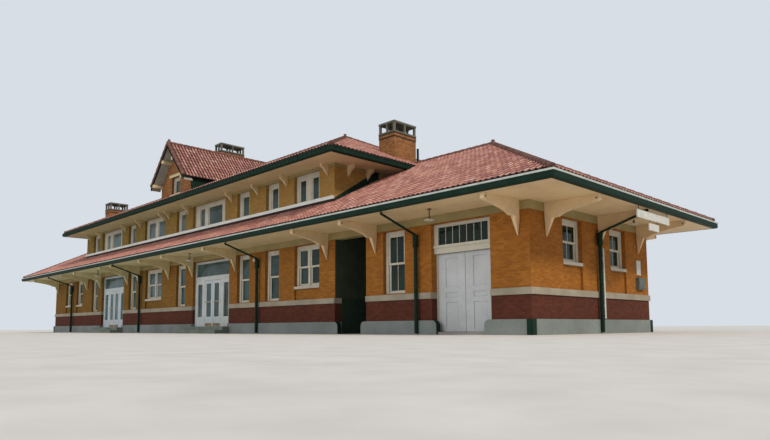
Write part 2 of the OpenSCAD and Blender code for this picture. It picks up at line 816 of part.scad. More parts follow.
module leaf_knuckles(z0, z1) for (z = hinge_heights(z0, z1))
    translate([0, 0, z + knuckle_l + seat]) {
        cylinder(r = knuckle_r, h = knuckle_l);
        translate([0, hinge_out - 3, 0]) cube([hinge_plate, 3, knuckle_l]);
    }

// Moves a leaf drawn from its hinge axis, running towards +X and opening
// towards -Y, to the left or right post of a main door
module at_main_hinge(x, side) at_frame(x, door_w)
    translate([side ? door_w - sidelight_w - 2 * post_w : sidelight_w + 2 * post_w, 0, 0])
        mirror([side, 0, 0]) translate([gap / 2, -hinge_out, 0]) children();

module at_freight_hinge(side) at_frame(freight_x, freight_w)
    translate([side ? freight_w - jamb_w : jamb_w, wall_t - door_recess, 0])
        mirror([side, 0, 0]) mirror([0, 1, 0]) translate([gap / 2, -hinge_out, 0]) children();

leaf_z0 = floor_z + gap;
leaf_z1 = transom_z - gap;

module main_leaf_lights(depth, y) for (span = [[kick_z, leaf_rail_z - leaf_rail / 2],
        [leaf_rail_z + leaf_rail / 2, leaf_z1 - leaf_stile]])
    translate([gap / 2 + leaf_stile, hinge_out + y, span[0]])
        cube([leaf_w - 2 * leaf_stile, depth, span[1] - span[0]]);

module main_leaf(x, side) at_main_hinge(x, side) {
    difference() {
        translate([gap / 2, hinge_out, leaf_z0]) cube([leaf_w, leaf_t, leaf_z1 - leaf_z0]);
        main_leaf_lights(leaf_t + 2, -1);
    }
    leaf_knuckles(floor_z, transom_z);
}

module main_leaf_glass(x, side) at_main_hinge(x, side)
    main_leaf_lights(glass_t, (leaf_t - glass_t) / 2);

// A freight leaf with tall upper and lower panels and a narrow middle one
module freight_leaf(side) at_freight_hinge(side) {
    difference() {
        translate([gap / 2, hinge_out, freight_floor_z + gap])
            cube([freight_leaf_w, freight_leaf_t, transom_z - freight_floor_z - 2 * gap]);
        for (span = freight_panels)
            for (y = [-panel_d, freight_leaf_t - panel_d])
                translate([gap / 2 + freight_stile, hinge_out + y, span[0]])
                    cube([freight_leaf_w - 2 * freight_stile, 2 * panel_d, span[1] - span[0]]);
    }
    leaf_knuckles(freight_floor_z, transom_z);
}

module freight_left_leaf() color("white") freight_leaf(0);
module freight_right_leaf() color("white") freight_leaf(1);
module main_1_left_leaf() color("white") main_leaf(door_1_x, 0);
module main_1_right_leaf() color("white") main_leaf(door_1_x, 1);
module main_2_left_leaf() color("white") main_leaf(door_2_x, 0);
module main_2_right_leaf() color("white") main_leaf(door_2_x, 1);
module main_1_left_glass() color("lightblue", 0.5) main_leaf_glass(door_1_x, 0);
module main_1_right_glass() color("lightblue", 0.5) main_leaf_glass(door_1_x, 1);
module main_2_left_glass() color("lightblue", 0.5) main_leaf_glass(door_2_x, 0);
module main_2_right_glass() color("lightblue", 0.5) main_leaf_glass(door_2_x, 1);

module door_steps() color("gray") for (x = [door_1_x, door_2_x]) {
    for (step = door_step_list)
        translate([fx(x) - door_w / 2 - step_side, -body_w / 2 - plinth_out - step[0], 0])
            cube([door_w + 2 * step_side, step[0], step[1]]);
    translate([fx(x) - door_w / 2 + seat, -body_w / 2 - plinth_out, 0])
        cube([door_w - 2 * seat, plinth_out, landing_h]);
}

// A downspout: outlet under the gutter, slanting pipe, rain cup, pipe down the wall
module downspout() {
    elbow_r = slant_r * 1.2;
    foot_z = 20;
    bend = [plinth_out + pipe_r + seat, wall_h - 330];
    top = [eave - 60, wall_h - elbow_r - 10];
    run = top - bend;
    translate([0, -body_w / 2 - bend[0], foot_z]) cylinder(r = pipe_r, h = bend[1] - foot_z);
    translate([0, -body_w / 2 - bend[0], bend[1]]) {
        translate([0, 0, -cup_h]) cylinder(r = cup_r, h = cup_h);
        translate([0, 0, -cup_h - cup_r / 2]) cylinder(r1 = pipe_r, r2 = cup_r, h = cup_r / 2);
        rotate([atan2(run[0], run[1]), 0, 0]) cylinder(r = slant_r, h = norm(run));
    }
    translate([0, -body_w / 2 - top[0], top[1]]) {
        sphere(r = elbow_r);
        cylinder(r = slant_r, h = wall_h - seat - top[1]);
    }
}

module downspouts() color("darkgreen") {
    for (side = [0, 1]) mirror([0, side, 0])
        for (x = downspout_xs) translate([fx(x), 0, 0]) downspout();
    for (side = [0, 1]) mirror([side, 0, 0])
        translate([(body_l - body_w) / 2, 0, 0]) rotate(90) downspout();
}

module lamp() translate([0, 0, wall_h - seat]) rotate_extrude() polygon([
    [0, 0], [35, 0], [35, -12], [8, -16], [8, 45 - lamp_drop], [lamp_r, 10 - lamp_drop],
    [lamp_r, -lamp_drop], [0, -lamp_drop]]);

module eave_lamps() color("whitesmoke") {
    for (side = [0, 1]) mirror([0, side, 0])
        for (x = lamp_xs) translate([fx(x), -body_w / 2 - lamp_out, 0]) lamp();
    for (side = [-1, 1]) translate([side * (body_l / 2 + end_lamp_out), end_lamp_y, 0]) lamp();
}

plinth();
guard_stones();
corner_guards();
dado_wall();
belt_course();
front_wall();
rear_wall();
end_walls();
passage_walls();
frieze();
ground_floor();
upper_front_wall();
upper_rear_wall();
upper_end_walls();
window_sills();
upper_floor();
soffits();
gutters();
eave_brackets();
lower_roofs();
pent_roofs();
upper_roof();
gable_roof();
gable_walls();
chimneys();
chimney_caps();
vent_pipe();
ground_windows();
ground_glass();
upper_windows();
upper_glass();
door_frames();
freight_left_leaf();
freight_right_leaf();
main_1_left_leaf();
main_1_right_leaf();
main_2_left_leaf();
main_2_right_leaf();
main_1_left_glass();
main_1_right_glass();
main_2_left_glass();
main_2_right_glass();
door_steps();
downspouts();
eave_lamps();
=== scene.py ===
import math

import bmesh
import bpy
import numpy as np
from mathutils import Matrix, Vector


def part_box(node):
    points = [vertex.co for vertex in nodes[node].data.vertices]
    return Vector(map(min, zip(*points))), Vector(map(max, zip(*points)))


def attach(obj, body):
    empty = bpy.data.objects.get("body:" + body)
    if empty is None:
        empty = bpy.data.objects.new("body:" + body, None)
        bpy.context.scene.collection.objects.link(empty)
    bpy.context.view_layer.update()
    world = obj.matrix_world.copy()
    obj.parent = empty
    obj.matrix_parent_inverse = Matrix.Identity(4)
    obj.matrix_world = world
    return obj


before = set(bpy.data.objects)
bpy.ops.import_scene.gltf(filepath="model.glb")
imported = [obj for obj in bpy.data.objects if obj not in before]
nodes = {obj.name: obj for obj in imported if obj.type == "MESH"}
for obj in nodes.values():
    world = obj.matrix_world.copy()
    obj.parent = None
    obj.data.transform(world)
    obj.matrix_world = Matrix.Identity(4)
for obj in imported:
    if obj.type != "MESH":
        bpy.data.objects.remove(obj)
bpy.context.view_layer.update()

# Sizes in metres, repeated from the part's source
HALF_L = 11.905
HALF_W = 2.3
SEAT = 0.0003
BELT_TOP = 0.78
FRIEZE_OUT = 0.015
SOFFIT_Z = 2.22
EAVE = 1.04
EAVE_Z = 2.371
ROOF_ANGLE = math.radians(27.6)
UPPER_MID = -0.695
UPPER_HALF = 7.65
UPPER_SOFFIT_Z = 3.80
UPPER_EAVE = 0.66
UPPER_EAVE_Z = 3.951
UPPER_ANGLE = math.radians(25.9)
GUTTER_OUT = 0.068
BAND_Z = 2.99
BAND_H = 0.07
BAND_OUT = 0.045
GABLE_X = -0.765
GABLE_HALF = 0.98
GABLE_REACH = 1.10
GABLE_RIDGE_Z = 5.89
GABLE_ANGLE = math.radians(47.7)
RAKE = 0.32
PASSAGE_X = 7.475
PASSAGE_HALF = 0.5025
CUP_R = 0.052
PIPE_R = 0.036

# Directions, and the leaves of the main doors
SIDES = (-1, 1)
UPWARDS = (0, 0, 1)
MAIN_LEAVES = [(n, hand) for n in (1, 2) for hand in ("left", "right")]

# Camera, fitted to the photo's vanishing points
CAM_PLACE = Vector((17.3549, -10.9909, 0.1411))
CAM_TURN = math.radians(45.410)
CAM_PITCH = math.radians(5.236)
CAM_ROLL = math.radians(-0.334)
CAM_LENS = 28.866
CAM_SENSOR = 36.0
CAM_SHIFT_Y = 0.0656
CAM_REACH = 400

forward = Vector((-math.sin(CAM_TURN) * math.cos(CAM_PITCH),
                  math.cos(CAM_TURN) * math.cos(CAM_PITCH), math.sin(CAM_PITCH)))
flat_right = Vector((math.cos(CAM_TURN), math.sin(CAM_TURN), 0.0))
flat_up = flat_right.cross(forward)
right = math.cos(CAM_ROLL) * flat_right + math.sin(CAM_ROLL) * flat_up
up = -math.sin(CAM_ROLL) * flat_right + math.cos(CAM_ROLL) * flat_up
camera = bpy.data.objects.new("camera", bpy.data.cameras.new("camera"))
bpy.context.scene.collection.objects.link(camera)
camera.matrix_world = Matrix((
    (right.x, up.x, -forward.x, CAM_PLACE.x), (right.y, up.y, -forward.y, CAM_PLACE.y),
    (right.z, up.z, -forward.z, CAM_PLACE.z), (0, 0, 0, 1)))
camera.data.lens = CAM_LENS
camera.data.sensor_width = CAM_SENSOR
camera.data.shift_y = CAM_SHIFT_Y
camera.data.clip_end = CAM_REACH
bpy.context.scene.camera = camera

# World: it lights the building, and the camera sees a paler backdrop
bpy.context.scene.view_settings.view_transform = "Standard"
SKY = (0.76, 0.80, 0.86, 1)
SKY_STRENGTH = 0.64
BACKDROP = (0.80, 0.86, 0.93, 1)
BACKDROP_STRENGTH = 0.85
world = bpy.data.worlds.new("studio")
bpy.context.scene.world = world
world.use_nodes = True
sky_tree = world.node_tree
sky = sky_tree.nodes["Background"]
sky.inputs["Color"].default_value = SKY
sky.inputs["Strength"].default_value = SKY_STRENGTH
seen = sky_tree.nodes.new("ShaderNodeBackground")
seen.inputs["Color"].default_value = BACKDROP
seen.inputs["Strength"].default_value = BACKDROP_STRENGTH
ray = sky_tree.nodes.new("ShaderNodeLightPath")
pick = sky_tree.nodes.new("ShaderNodeMixShader")
sky_tree.links.new(ray.outputs["Is Camera Ray"], pick.inputs[0])
sky_tree.links.new(sky.outputs[0], pick.inputs[1])
sky_tree.links.new(seen.outputs[0], pick.inputs[2])
sky_tree.links.new(pick.outputs[0], sky_tree.nodes["World Output"].inputs["Surface"])


# Lights: a soft warm key from the right, and a fill from the front
def add_sun(name, towards, energy, colour, softness):
    data = bpy.data.lights.new(name, "SUN")
    data.energy = energy
    data.angle = math.radians(softness)
    data.color = colour
    lamp = bpy.data.objects.new(name, data)
    bpy.context.scene.collection.objects.link(lamp)
    lamp.rotation_euler = Vector(towards).to_track_quat("-Z", "Y").to_euler()


add_sun("key", towards=(-1.0, 0.15, -0.95), energy=2.05, colour=(1.0, 0.90, 0.76), softness=10)
add_sun("fill", towards=(0.1, 1.0, -0.35), energy=0.65, colour=(1.0, 0.97, 0.92), softness=40)


# Shader helpers
def rgb(r, g, b):
    return (r, g, b, 1.0)


def shader(name, rough, metal=0.0, specular=0.35):
    mat = bpy.data.materials.new(name)
    mat.use_nodes = True
    bsdf = mat.node_tree.nodes["Principled BSDF"]
    bsdf.inputs["Roughness"].default_value = rough
    bsdf.inputs["Metallic"].default_value = metal
    bsdf.inputs["Specular IOR Level"].default_value = specular
    return mat, mat.node_tree, bsdf


def feed(tree, socket, value):
    """Gives a socket a constant or another node's output."""
    if isinstance(value, bpy.types.NodeSocket):
        tree.links.new(value, socket)
    else:
        socket.default_value = value


def node(tree, kind, inputs=None, **props):
    """Adds a shader node; inputs are numbers, colours or another node's output."""
    made = tree.nodes.new("ShaderNode" + kind)
    for key, value in props.items():
        setattr(made, key, value)
    for key, value in (inputs or {}).items():
        feed(tree, made.inputs[key], value)
    return made


def math_node(tree, operation, a, b=0.0):
    return node(tree, "Math", {0: a, 1: b}, operation=operation).outputs[0]


def mix_colour(tree, factor, a, b, blend="MIX"):
    """Mixes two colours; sockets 6 and 7 of a Mix node are its colours A and B."""
    made = node(tree, "Mix", data_type="RGBA", blend_type=blend)
    feed(tree, made.inputs["Factor"], factor)
    feed(tree, made.inputs[6], a)
    feed(tree, made.inputs[7], b)
    return made.outputs[2]


def shaded(tree, colour, value):
    """A colour multiplied by one value."""
    grey = node(tree, "CombineColor", {0: value, 1: value, 2: value}).outputs[0]
    return mix_colour(tree, 1.0, colour, grey, "MULTIPLY")


def noise(tree, coords, scale, detail):
    return node(tree, "TexNoise", {"Vector": coords, "Scale": scale, "Detail": detail,
                                   "Roughness": 0.55}).outputs["Fac"]


def remap(tree, value, low, high, to_low, to_high):
    return node(tree, "MapRange", {"Value": value, "From Min": low, "From Max": high,
                                   "To Min": to_low, "To Max": to_high}).outputs["Result"]


def patches(tree, coords, scale, detail, low, high, most=1.0):
    """Chance patches, from 0 where the noise is low to the most where it is high."""
    return remap(tree, noise(tree, coords, scale, detail), low, high, 0.0, most)


def set_bump(tree, bsdf, height, strength, distance):
    bump = node(tree, "Bump", {"Height": height, "Strength": strength, "Distance": distance})
    tree.links.new(bump.outputs["Normal"], bsdf.inputs["Normal"])


def object_coords(tree):
    return node(tree, "TexCoord").outputs["Object"]


def wall_coords(tree):
    """Along the wall as x and height as y, for walls that face either way."""
    place = node(tree, "SeparateXYZ", {0: object_coords(tree)})
    facing = node(tree, "SeparateXYZ", {0: node(tree, "NewGeometry").outputs["Normal"]})
    side = math_node(tree, "GREATER_THAN", math_node(tree, "ABSOLUTE", facing.outputs["X"]), 0.6)
    along = node(tree, "Mix", {"Factor": side, 2: place.outputs["X"], 3: place.outputs["Y"]})
    return node(tree, "CombineXYZ", {0: along.outputs[0], 1: place.outputs["Z"]}).outputs[0]


# Places along the front where a tint is at its first and at its second tone
FAR_X = -3.0
NEAR_X = 9.0


def tint_along(tree, colour, tones):
    """Tints a colour from the far end of the front to the near one: on the bricks painted shade towards
    the far end, where the walls lie under the deep eave, and painted light on the near upper wall; on the
    glass a painted reflection.
    """
    if tones is None:
        return colour
    x = node(tree, "SeparateXYZ", {0: object_coords(tree)}).outputs["X"]
    tint = mix_colour(tree, remap(tree, x, FAR_X, NEAR_X, 0.0, 1.0), tones[0], tones[1])
    return mix_colour(tree, 1.0, colour, tint, "MULTIPLY")


# Brick
BRICK_L = 0.1065
BRICK_H = 0.0338
MORTAR = 0.0045


def brick_look(name, one, two, mortar, stain, rough=0.85, tones=None):
    """Bricks of two colours in true courses, with broad stains and fine flecks."""
    mat, tree, bsdf = shader(name, rough, specular=0.12)
    bricks = node(tree, "TexBrick", {
        "Vector": wall_coords(tree), "Color1": one, "Color2": two, "Mortar": mortar, "Scale": 1.0,
        "Mortar Size": MORTAR / 2, "Mortar Smooth": 0.3, "Brick Width": BRICK_L,
        "Row Height": BRICK_H, "Bias": 0.0})
    coords = object_coords(tree)
    grime = patches(tree, coords, scale=1.3, detail=5.0, low=0.35, high=0.7, most=0.55)
    colour = mix_colour(tree, grime, bricks.outputs["Color"], stain)
    fleck = remap(tree, noise(tree, coords, scale=60.0, detail=2.0), 0.3, 0.7, 0.86, 1.12)
    colour = shaded(tree, colour, fleck)
    tree.links.new(tint_along(tree, colour, tones), bsdf.inputs["Base Color"])
    face = math_node(tree, "SUBTRACT", 1.0, bricks.outputs["Fac"])
    set_bump(tree, bsdf, face, strength=0.5, distance=0.004)
    return mat


# Its tones paint shade towards the far end of the front, where the wall lies under the deep eave
buff_brick = brick_look("buff_brick", rgb(0.435, 0.162, 0.026), rgb(0.285, 0.100, 0.017),
                        rgb(0.20, 0.100, 0.036), rgb(0.27, 0.086, 0.017),
                        tones=(rgb(0.62, 0.90, 1.05), rgb(1.02, 1.08, 1.10)))
# Its tones paint shade towards the far end and painted light on the near upper wall, which lies under the
# eave
upper_brick = brick_look("upper_brick", rgb(0.41, 0.192, 0.042), rgb(0.28, 0.133, 0.030),
                         rgb(0.21, 0.130, 0.060), rgb(0.25, 0.110, 0.030),
                         tones=(rgb(0.74, 1.02, 1.10), rgb(1.25, 1.50, 1.70)))
chimney_brick = brick_look("chimney_brick", rgb(0.44, 0.200, 0.070), rgb(0.22, 0.100, 0.040),
                           rgb(0.22, 0.140, 0.080), rgb(0.20, 0.085, 0.040))
# Near-black brick of the courses under the chimney caps: soot and painted shade
soot_and_shade_brick = brick_look("soot_and_shade_brick", rgb(0.095, 0.058, 0.034), rgb(0.055, 0.036, 0.024),
                        rgb(0.06, 0.045, 0.035), rgb(0.055, 0.042, 0.028))
dado_brick = brick_look("dado_brick", rgb(0.138, 0.038, 0.021), rgb(0.088, 0.025, 0.015),
                        rgb(0.07, 0.038, 0.028), rgb(0.066, 0.024, 0.016), rough=0.75)
passage_paint = brick_look("passage_paint", rgb(0.040, 0.068, 0.044), rgb(0.028, 0.050, 0.034),
                           rgb(0.020, 0.035, 0.025), rgb(0.034, 0.052, 0.038))


# Stone, paint and metal
def worn_look(name, base, dark, scale, rough, grain=40.0, bump=0.15, metal=0.0, specular=0.35,
              tones=None):
    """A plain finish with broad staining and a fine grain."""
    mat, tree, bsdf = shader(name, rough, metal, specular)
    coords = object_coords(tree)
    stain = patches(tree, coords, scale, detail=6.0, low=0.38, high=0.68)
    fine = noise(tree, coords, grain, detail=3.0)
    colour = mix_colour(tree, stain, base, dark)
    colour = shaded(tree, colour, remap(tree, fine, 0.3, 0.7, 0.92, 1.06))
    tree.links.new(tint_along(tree, colour, tones), bsdf.inputs["Base Color"])
    tree.links.new(remap(tree, stain, 0.0, 1.0, rough * 0.9, min(1.0, rough * 1.15)),
                   bsdf.inputs["Roughness"])
    set_bump(tree, bsdf, fine, bump, distance=0.003)
    return mat


plinth_stone = worn_look("plinth_stone", rgb(0.225, 0.255, 0.245), rgb(0.165, 0.19, 0.18), 1.4, 0.85,
                         grain=30.0, bump=0.3)
pale_stone = worn_look("pale_stone", rgb(0.36, 0.325, 0.25), rgb(0.27, 0.24, 0.185), 2.5, 0.8)
sill_stone = worn_look("sill_stone", rgb(0.52, 0.49, 0.41), rgb(0.42, 0.39, 0.32), 4.0, 0.7)
dark_stone = worn_look("dark_stone", rgb(0.155, 0.155, 0.125), rgb(0.085, 0.088, 0.072), 5.0, 0.85,
                       grain=50.0, bump=0.4)
step_stone = worn_look("step_stone", rgb(0.20, 0.235, 0.20), rgb(0.14, 0.165, 0.14), 2.0, 0.85,
                       grain=30.0, bump=0.3)
concrete = worn_look("concrete", rgb(0.30, 0.29, 0.27), rgb(0.22, 0.21, 0.19), 1.5, 0.85,
                     grain=30.0, bump=0.3)
ridge_clay = worn_look("ridge_clay", rgb(0.20, 0.085, 0.060), rgb(0.10, 0.05, 0.04), 6.0, 0.7,
                       grain=60.0, bump=0.3)
# Near-black finish of the roofs under the tiles, the tiles' eave ends and the flashing under the band:
# painted shade in the gaps
gap_shade = worn_look("gap_shade", rgb(0.030, 0.018, 0.014), rgb(0.018, 0.012, 0.010), 6.0, 0.9)

CREAM_TONES = (rgb(0.84, 1.06, 0.98), rgb(1.0, 1.04, 1.0))
cream_paint = worn_look("cream_paint", rgb(0.78, 0.56, 0.34), rgb(0.66, 0.46, 0.28), 4.0, 0.5,
                        tones=CREAM_TONES)
# Painted shade: the cream frieze boards under the soffits, coloured olive as they look in the shade there
frieze_painted_shade = worn_look("frieze_painted_shade", rgb(0.35, 0.28, 0.12), rgb(0.26, 0.21, 0.095), 2.0, 0.65)
green_paint = worn_look("green_paint", rgb(0.006, 0.024, 0.016), rgb(0.012, 0.034, 0.022), 6.0, 0.55,
                        bump=0.1, specular=0.10)
passage_boards = worn_look("passage_boards", rgb(0.052, 0.068, 0.038), rgb(0.034, 0.050, 0.030),
                           3.0, 0.6)
band_paint = worn_look("band_paint", rgb(0.80, 0.82, 0.79), rgb(0.69, 0.71, 0.68), 2.5, 0.6)
white_paint = worn_look("white_paint", rgb(0.60, 0.57, 0.48), rgb(0.50, 0.46, 0.37), 3.5, 0.5)
door_paint = worn_look("door_paint", rgb(0.56, 0.62, 0.66), rgb(0.47, 0.52, 0.55), 3.0, 0.45)
frame_paint = worn_look("frame_paint", rgb(0.60, 0.60, 0.56), rgb(0.50, 0.50, 0.46), 3.0, 0.45,
                        tones=(rgb(0.93, 1.06, 1.24), rgb(1.0, 0.95, 0.84)))
leaf_paint = worn_look("leaf_paint", rgb(0.56, 0.59, 0.61), rgb(0.48, 0.50, 0.51), 2.2, 0.5)
rake_paint = worn_look("rake_paint", rgb(0.40, 0.41, 0.37), rgb(0.30, 0.31, 0.28), 4.0, 0.6)
plate_white = worn_look("plate_white", rgb(0.66, 0.66, 0.62), rgb(0.55, 0.55, 0.50), 5.0, 0.45)
box_grey = worn_look("box_grey", rgb(0.12, 0.14, 0.13), rgb(0.08, 0.10, 0.09), 5.0, 0.5)
stem_brown = worn_look("stem_brown", rgb(0.11, 0.065, 0.030), rgb(0.06, 0.040, 0.020), 8.0, 0.6)
lamp_enamel = worn_look("lamp_enamel", rgb(0.62, 0.62, 0.58), rgb(0.50, 0.50, 0.46), 8.0, 0.3)
drip_metal = worn_look("drip_metal", rgb(0.60, 0.64, 0.60), rgb(0.46, 0.50, 0.46), 5.0, 0.45,
                       bump=0.1, metal=0.3)
brass = worn_look("brass", rgb(0.36, 0.21, 0.06), rgb(0.22, 0.13, 0.05), 8.0, 0.4,
                  grain=60.0, bump=0.1, metal=0.6)
floor_paper = worn_look("floor_paper", rgb(0.66, 0.65, 0.63), rgb(0.64, 0.63, 0.61), 0.2, 0.9,
                        grain=3.0, bump=0.0)

# Boards of the soffits and the upper floor
JOINT_SHARE = 0.06
JOINT_COLOUR = rgb(0.08, 0.06, 0.04)


def board_look(name, base, dark, width, tones=None):
    """Painted boards laid along the wall, with a dark joint between them."""
    mat, tree, bsdf = shader(name, 0.6)
    coords = object_coords(tree)
    place = node(tree, "SeparateXYZ", {0: coords})
    out_x = math_node(tree, "SUBTRACT", math_node(tree, "ABSOLUTE", place.outputs["X"]), HALF_L)
    out_y = math_node(tree, "SUBTRACT", math_node(tree, "ABSOLUTE", place.outputs["Y"]), HALF_W)
    out = math_node(tree, "MAXIMUM", out_x, out_y)
    phase = math_node(tree, "FRACT", math_node(tree, "DIVIDE", out, width))
    joint = math_node(tree, "LESS_THAN", phase, JOINT_SHARE)
    stain = patches(tree, coords, scale=1.6, detail=5.0, low=0.35, high=0.7)
    colour = mix_colour(tree, stain, base, dark)
    colour = mix_colour(tree, math_node(tree, "MULTIPLY", joint, 0.5), colour, JOINT_COLOUR)
    tree.links.new(tint_along(tree, colour, tones), bsdf.inputs["Base Color"])
    set_bump(tree, bsdf, math_node(tree, "SUBTRACT", 1.0, joint), strength=0.4, distance=0.004)
    return mat


cream_boards = board_look("cream_boards", rgb(0.80, 0.58, 0.34), rgb(0.68, 0.47, 0.28), 0.065,
                          tones=CREAM_TONES)
floor_boards = board_look("floor_boards", rgb(0.30, 0.20, 0.11), rgb(0.24, 0.16, 0.09), 0.07)

# Clay tiles
TILE_DARK = rgb(0.25, 0.105, 0.090)
TILE_RED = rgb(0.33, 0.132, 0.108)
TILE_PINK = rgb(0.42, 0.200, 0.170)
TILE_ORANGE = rgb(0.46, 0.215, 0.150)
TILE_PALE = rgb(0.52, 0.320, 0.270)
TILE_STOPS = ((0.0, TILE_DARK), (0.22, TILE_RED), (0.55, TILE_PINK), (0.8, TILE_ORANGE),
              (1.0, TILE_PALE))


def tile_look(name):
    """One chance colour for each tile of the piece's UV map, with painted shade in the pans and at the
    feet, painted highlight on the crests of the rolls, and pale flecks of painted highlight.
    """
    mat, tree, bsdf = shader(name, 0.62)
    uv = node(tree, "SeparateXYZ", {0: node(tree, "TexCoord").outputs["UV"]})
    cell = node(tree, "CombineXYZ", {0: math_node(tree, "FLOOR", uv.outputs["X"]),
                                     1: math_node(tree, "FLOOR", uv.outputs["Y"])})
    chance = node(tree, "TexWhiteNoise", {"Vector": cell.outputs[0]}, noise_dimensions="2D")
    ramp = node(tree, "ValToRGB", {"Fac": chance.outputs["Value"]})
    elements = ramp.color_ramp.elements
    elements[0].position, elements[0].color = TILE_STOPS[0]
    elements[1].position, elements[1].color = TILE_STOPS[-1]
    for position, colour in TILE_STOPS[1:-1]:
        elements.new(position).color = colour
    coords = object_coords(tree)
    worn = patches(tree, coords, scale=0.9, detail=5.0, low=0.35, high=0.7, most=0.4)
    colour = mix_colour(tree, worn, ramp.outputs["Color"], TILE_RED)
    across = math_node(tree, "FRACT", uv.outputs["X"])
    roll = math_node(tree, "SINE", math_node(tree, "MULTIPLY", across, math.pi))
    # Painted shade in the pans and painted highlight on the crests of the rolls
    pan_shade_crest_light = remap(tree, roll, 0.58, 0.98, 0.17, 1.34)
    # Painted shade at the foot of each row of tiles
    foot = remap(tree, math_node(tree, "FRACT", uv.outputs["Y"]), 0.11, 0.18, 0.50, 1.08)
    colour = shaded(tree, colour, math_node(tree, "MULTIPLY", pan_shade_crest_light, foot))
    # Pale flecks of painted highlight
    pale = patches(tree, coords, scale=45.0, detail=3.0, low=0.55, high=0.75, most=0.22)
    colour = mix_colour(tree, pale, colour, TILE_PALE)
    tree.links.new(colour, bsdf.inputs["Base Color"])
    set_bump(tree, bsdf, noise(tree, coords, scale=90.0, detail=2.0), strength=0.2, distance=0.002)
    return mat


clay_tile = tile_look("clay_tile")


# Window glass
GLASS_DARK = rgb(0.010, 0.018, 0.015)
GLASS_LIGHT = rgb(0.024, 0.040, 0.036)
# Tints of the glass: a painted reflection of the pale sky at the far end, and darker glass at the near end
GLASS_REFLECTION_TONES = (rgb(4.4, 4.4, 5.0), rgb(0.4, 0.7, 0.5))


def glass_look(name):
    """Dark glass, its colour painted shade of the unlit rooms behind, with a painted reflection of the
    pale sky towards the far end of the front.
    """
    mat, tree, bsdf = shader(name, 0.08, specular=0.32)
    coords = object_coords(tree)
    blotch = patches(tree, coords, scale=1.7, detail=2.0, low=0.35, high=0.65)
    colour = mix_colour(tree, blotch, GLASS_DARK, GLASS_LIGHT)
    tree.links.new(tint_along(tree, colour, GLASS_REFLECTION_TONES), bsdf.inputs["Base Color"])
    set_bump(tree, bsdf, noise(tree, coords, scale=2.5, detail=1.0), strength=0.08, distance=0.01)
    return mat


window_glass = glass_look("window_glass")

# Materials of the frame's nodes
NODE_LOOKS = (
    (plinth_stone, ("plinth", "guard_stones")),
    (pale_stone, ("belt_course",)),
    (sill_stone, ("window_sills",)),
    (dark_stone, ("chimney_caps",)),
    (step_stone, ("door_steps",)),
    (concrete, ("ground_floor",)),
    (dado_brick, ("dado_wall",)),
    (buff_brick, ("front_wall", "rear_wall", "end_walls")),
    (upper_brick, ("upper_front_wall", "upper_rear_wall", "upper_end_walls")),
    (chimney_brick, ("gable_walls", "chimneys")),
    (passage_paint, ("passage_walls",)),
    (frieze_painted_shade, ("frieze",)),
    (floor_boards, ("upper_floor",)),
    (cream_boards, ("soffits",)),
    (cream_paint, ("eave_brackets",)),
    (green_paint, ("corner_guards", "gutters", "vent_pipe", "downspouts")),
    (gap_shade, ("lower_roofs", "pent_roofs", "upper_roof", "gable_roof")),
    (white_paint, ("ground_windows", "upper_windows")),
    (frame_paint, ("door_frames",)),
    (door_paint, [f"main_{n}_{hand}_leaf" for n, hand in MAIN_LEAVES]),
    (leaf_paint, ("freight_left_leaf", "freight_right_leaf")),
    (lamp_enamel, ("eave_lamps",)),
    (window_glass, ["ground_glass", "upper_glass"]),
    (window_glass, [f"main_{n}_{hand}_glass" for n, hand in MAIN_LEAVES]))
for look, names in NODE_LOOKS:
    for name in names:
        nodes[name].data.materials.clear()
        nodes[name].data.materials.append(look)


# Mesh helpers
def add_piece(name, verts, faces, looks, body, uvs=None, look_indices=None):
    """Makes a piece that rides on a body of the frame and has a material slot."""
    mesh = bpy.data.meshes.new(name)
    mesh.from_pydata([tuple(map(float, v)) for v in verts], [], faces)
    for look in looks:
        mesh.materials.append(look)
    if uvs is not None:
        layer = mesh.uv_layers.new(name="tiles")
        layer.data.foreach_set("uv", np.asarray(uvs, np.float32).ravel())
    if look_indices is not None:
        mesh.polygons.foreach_set("material_index", look_indices)
    mesh.update()
    piece = bpy.data.objects.new(name, mesh)
    bpy.context.scene.collection.objects.link(piece)
    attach(piece, body)
    return piece


def low_high(corner, opposite):
    """The lowest and the highest corner of the box between two corners."""
    return tuple(map(min, corner, opposite)), tuple(map(max, corner, opposite))


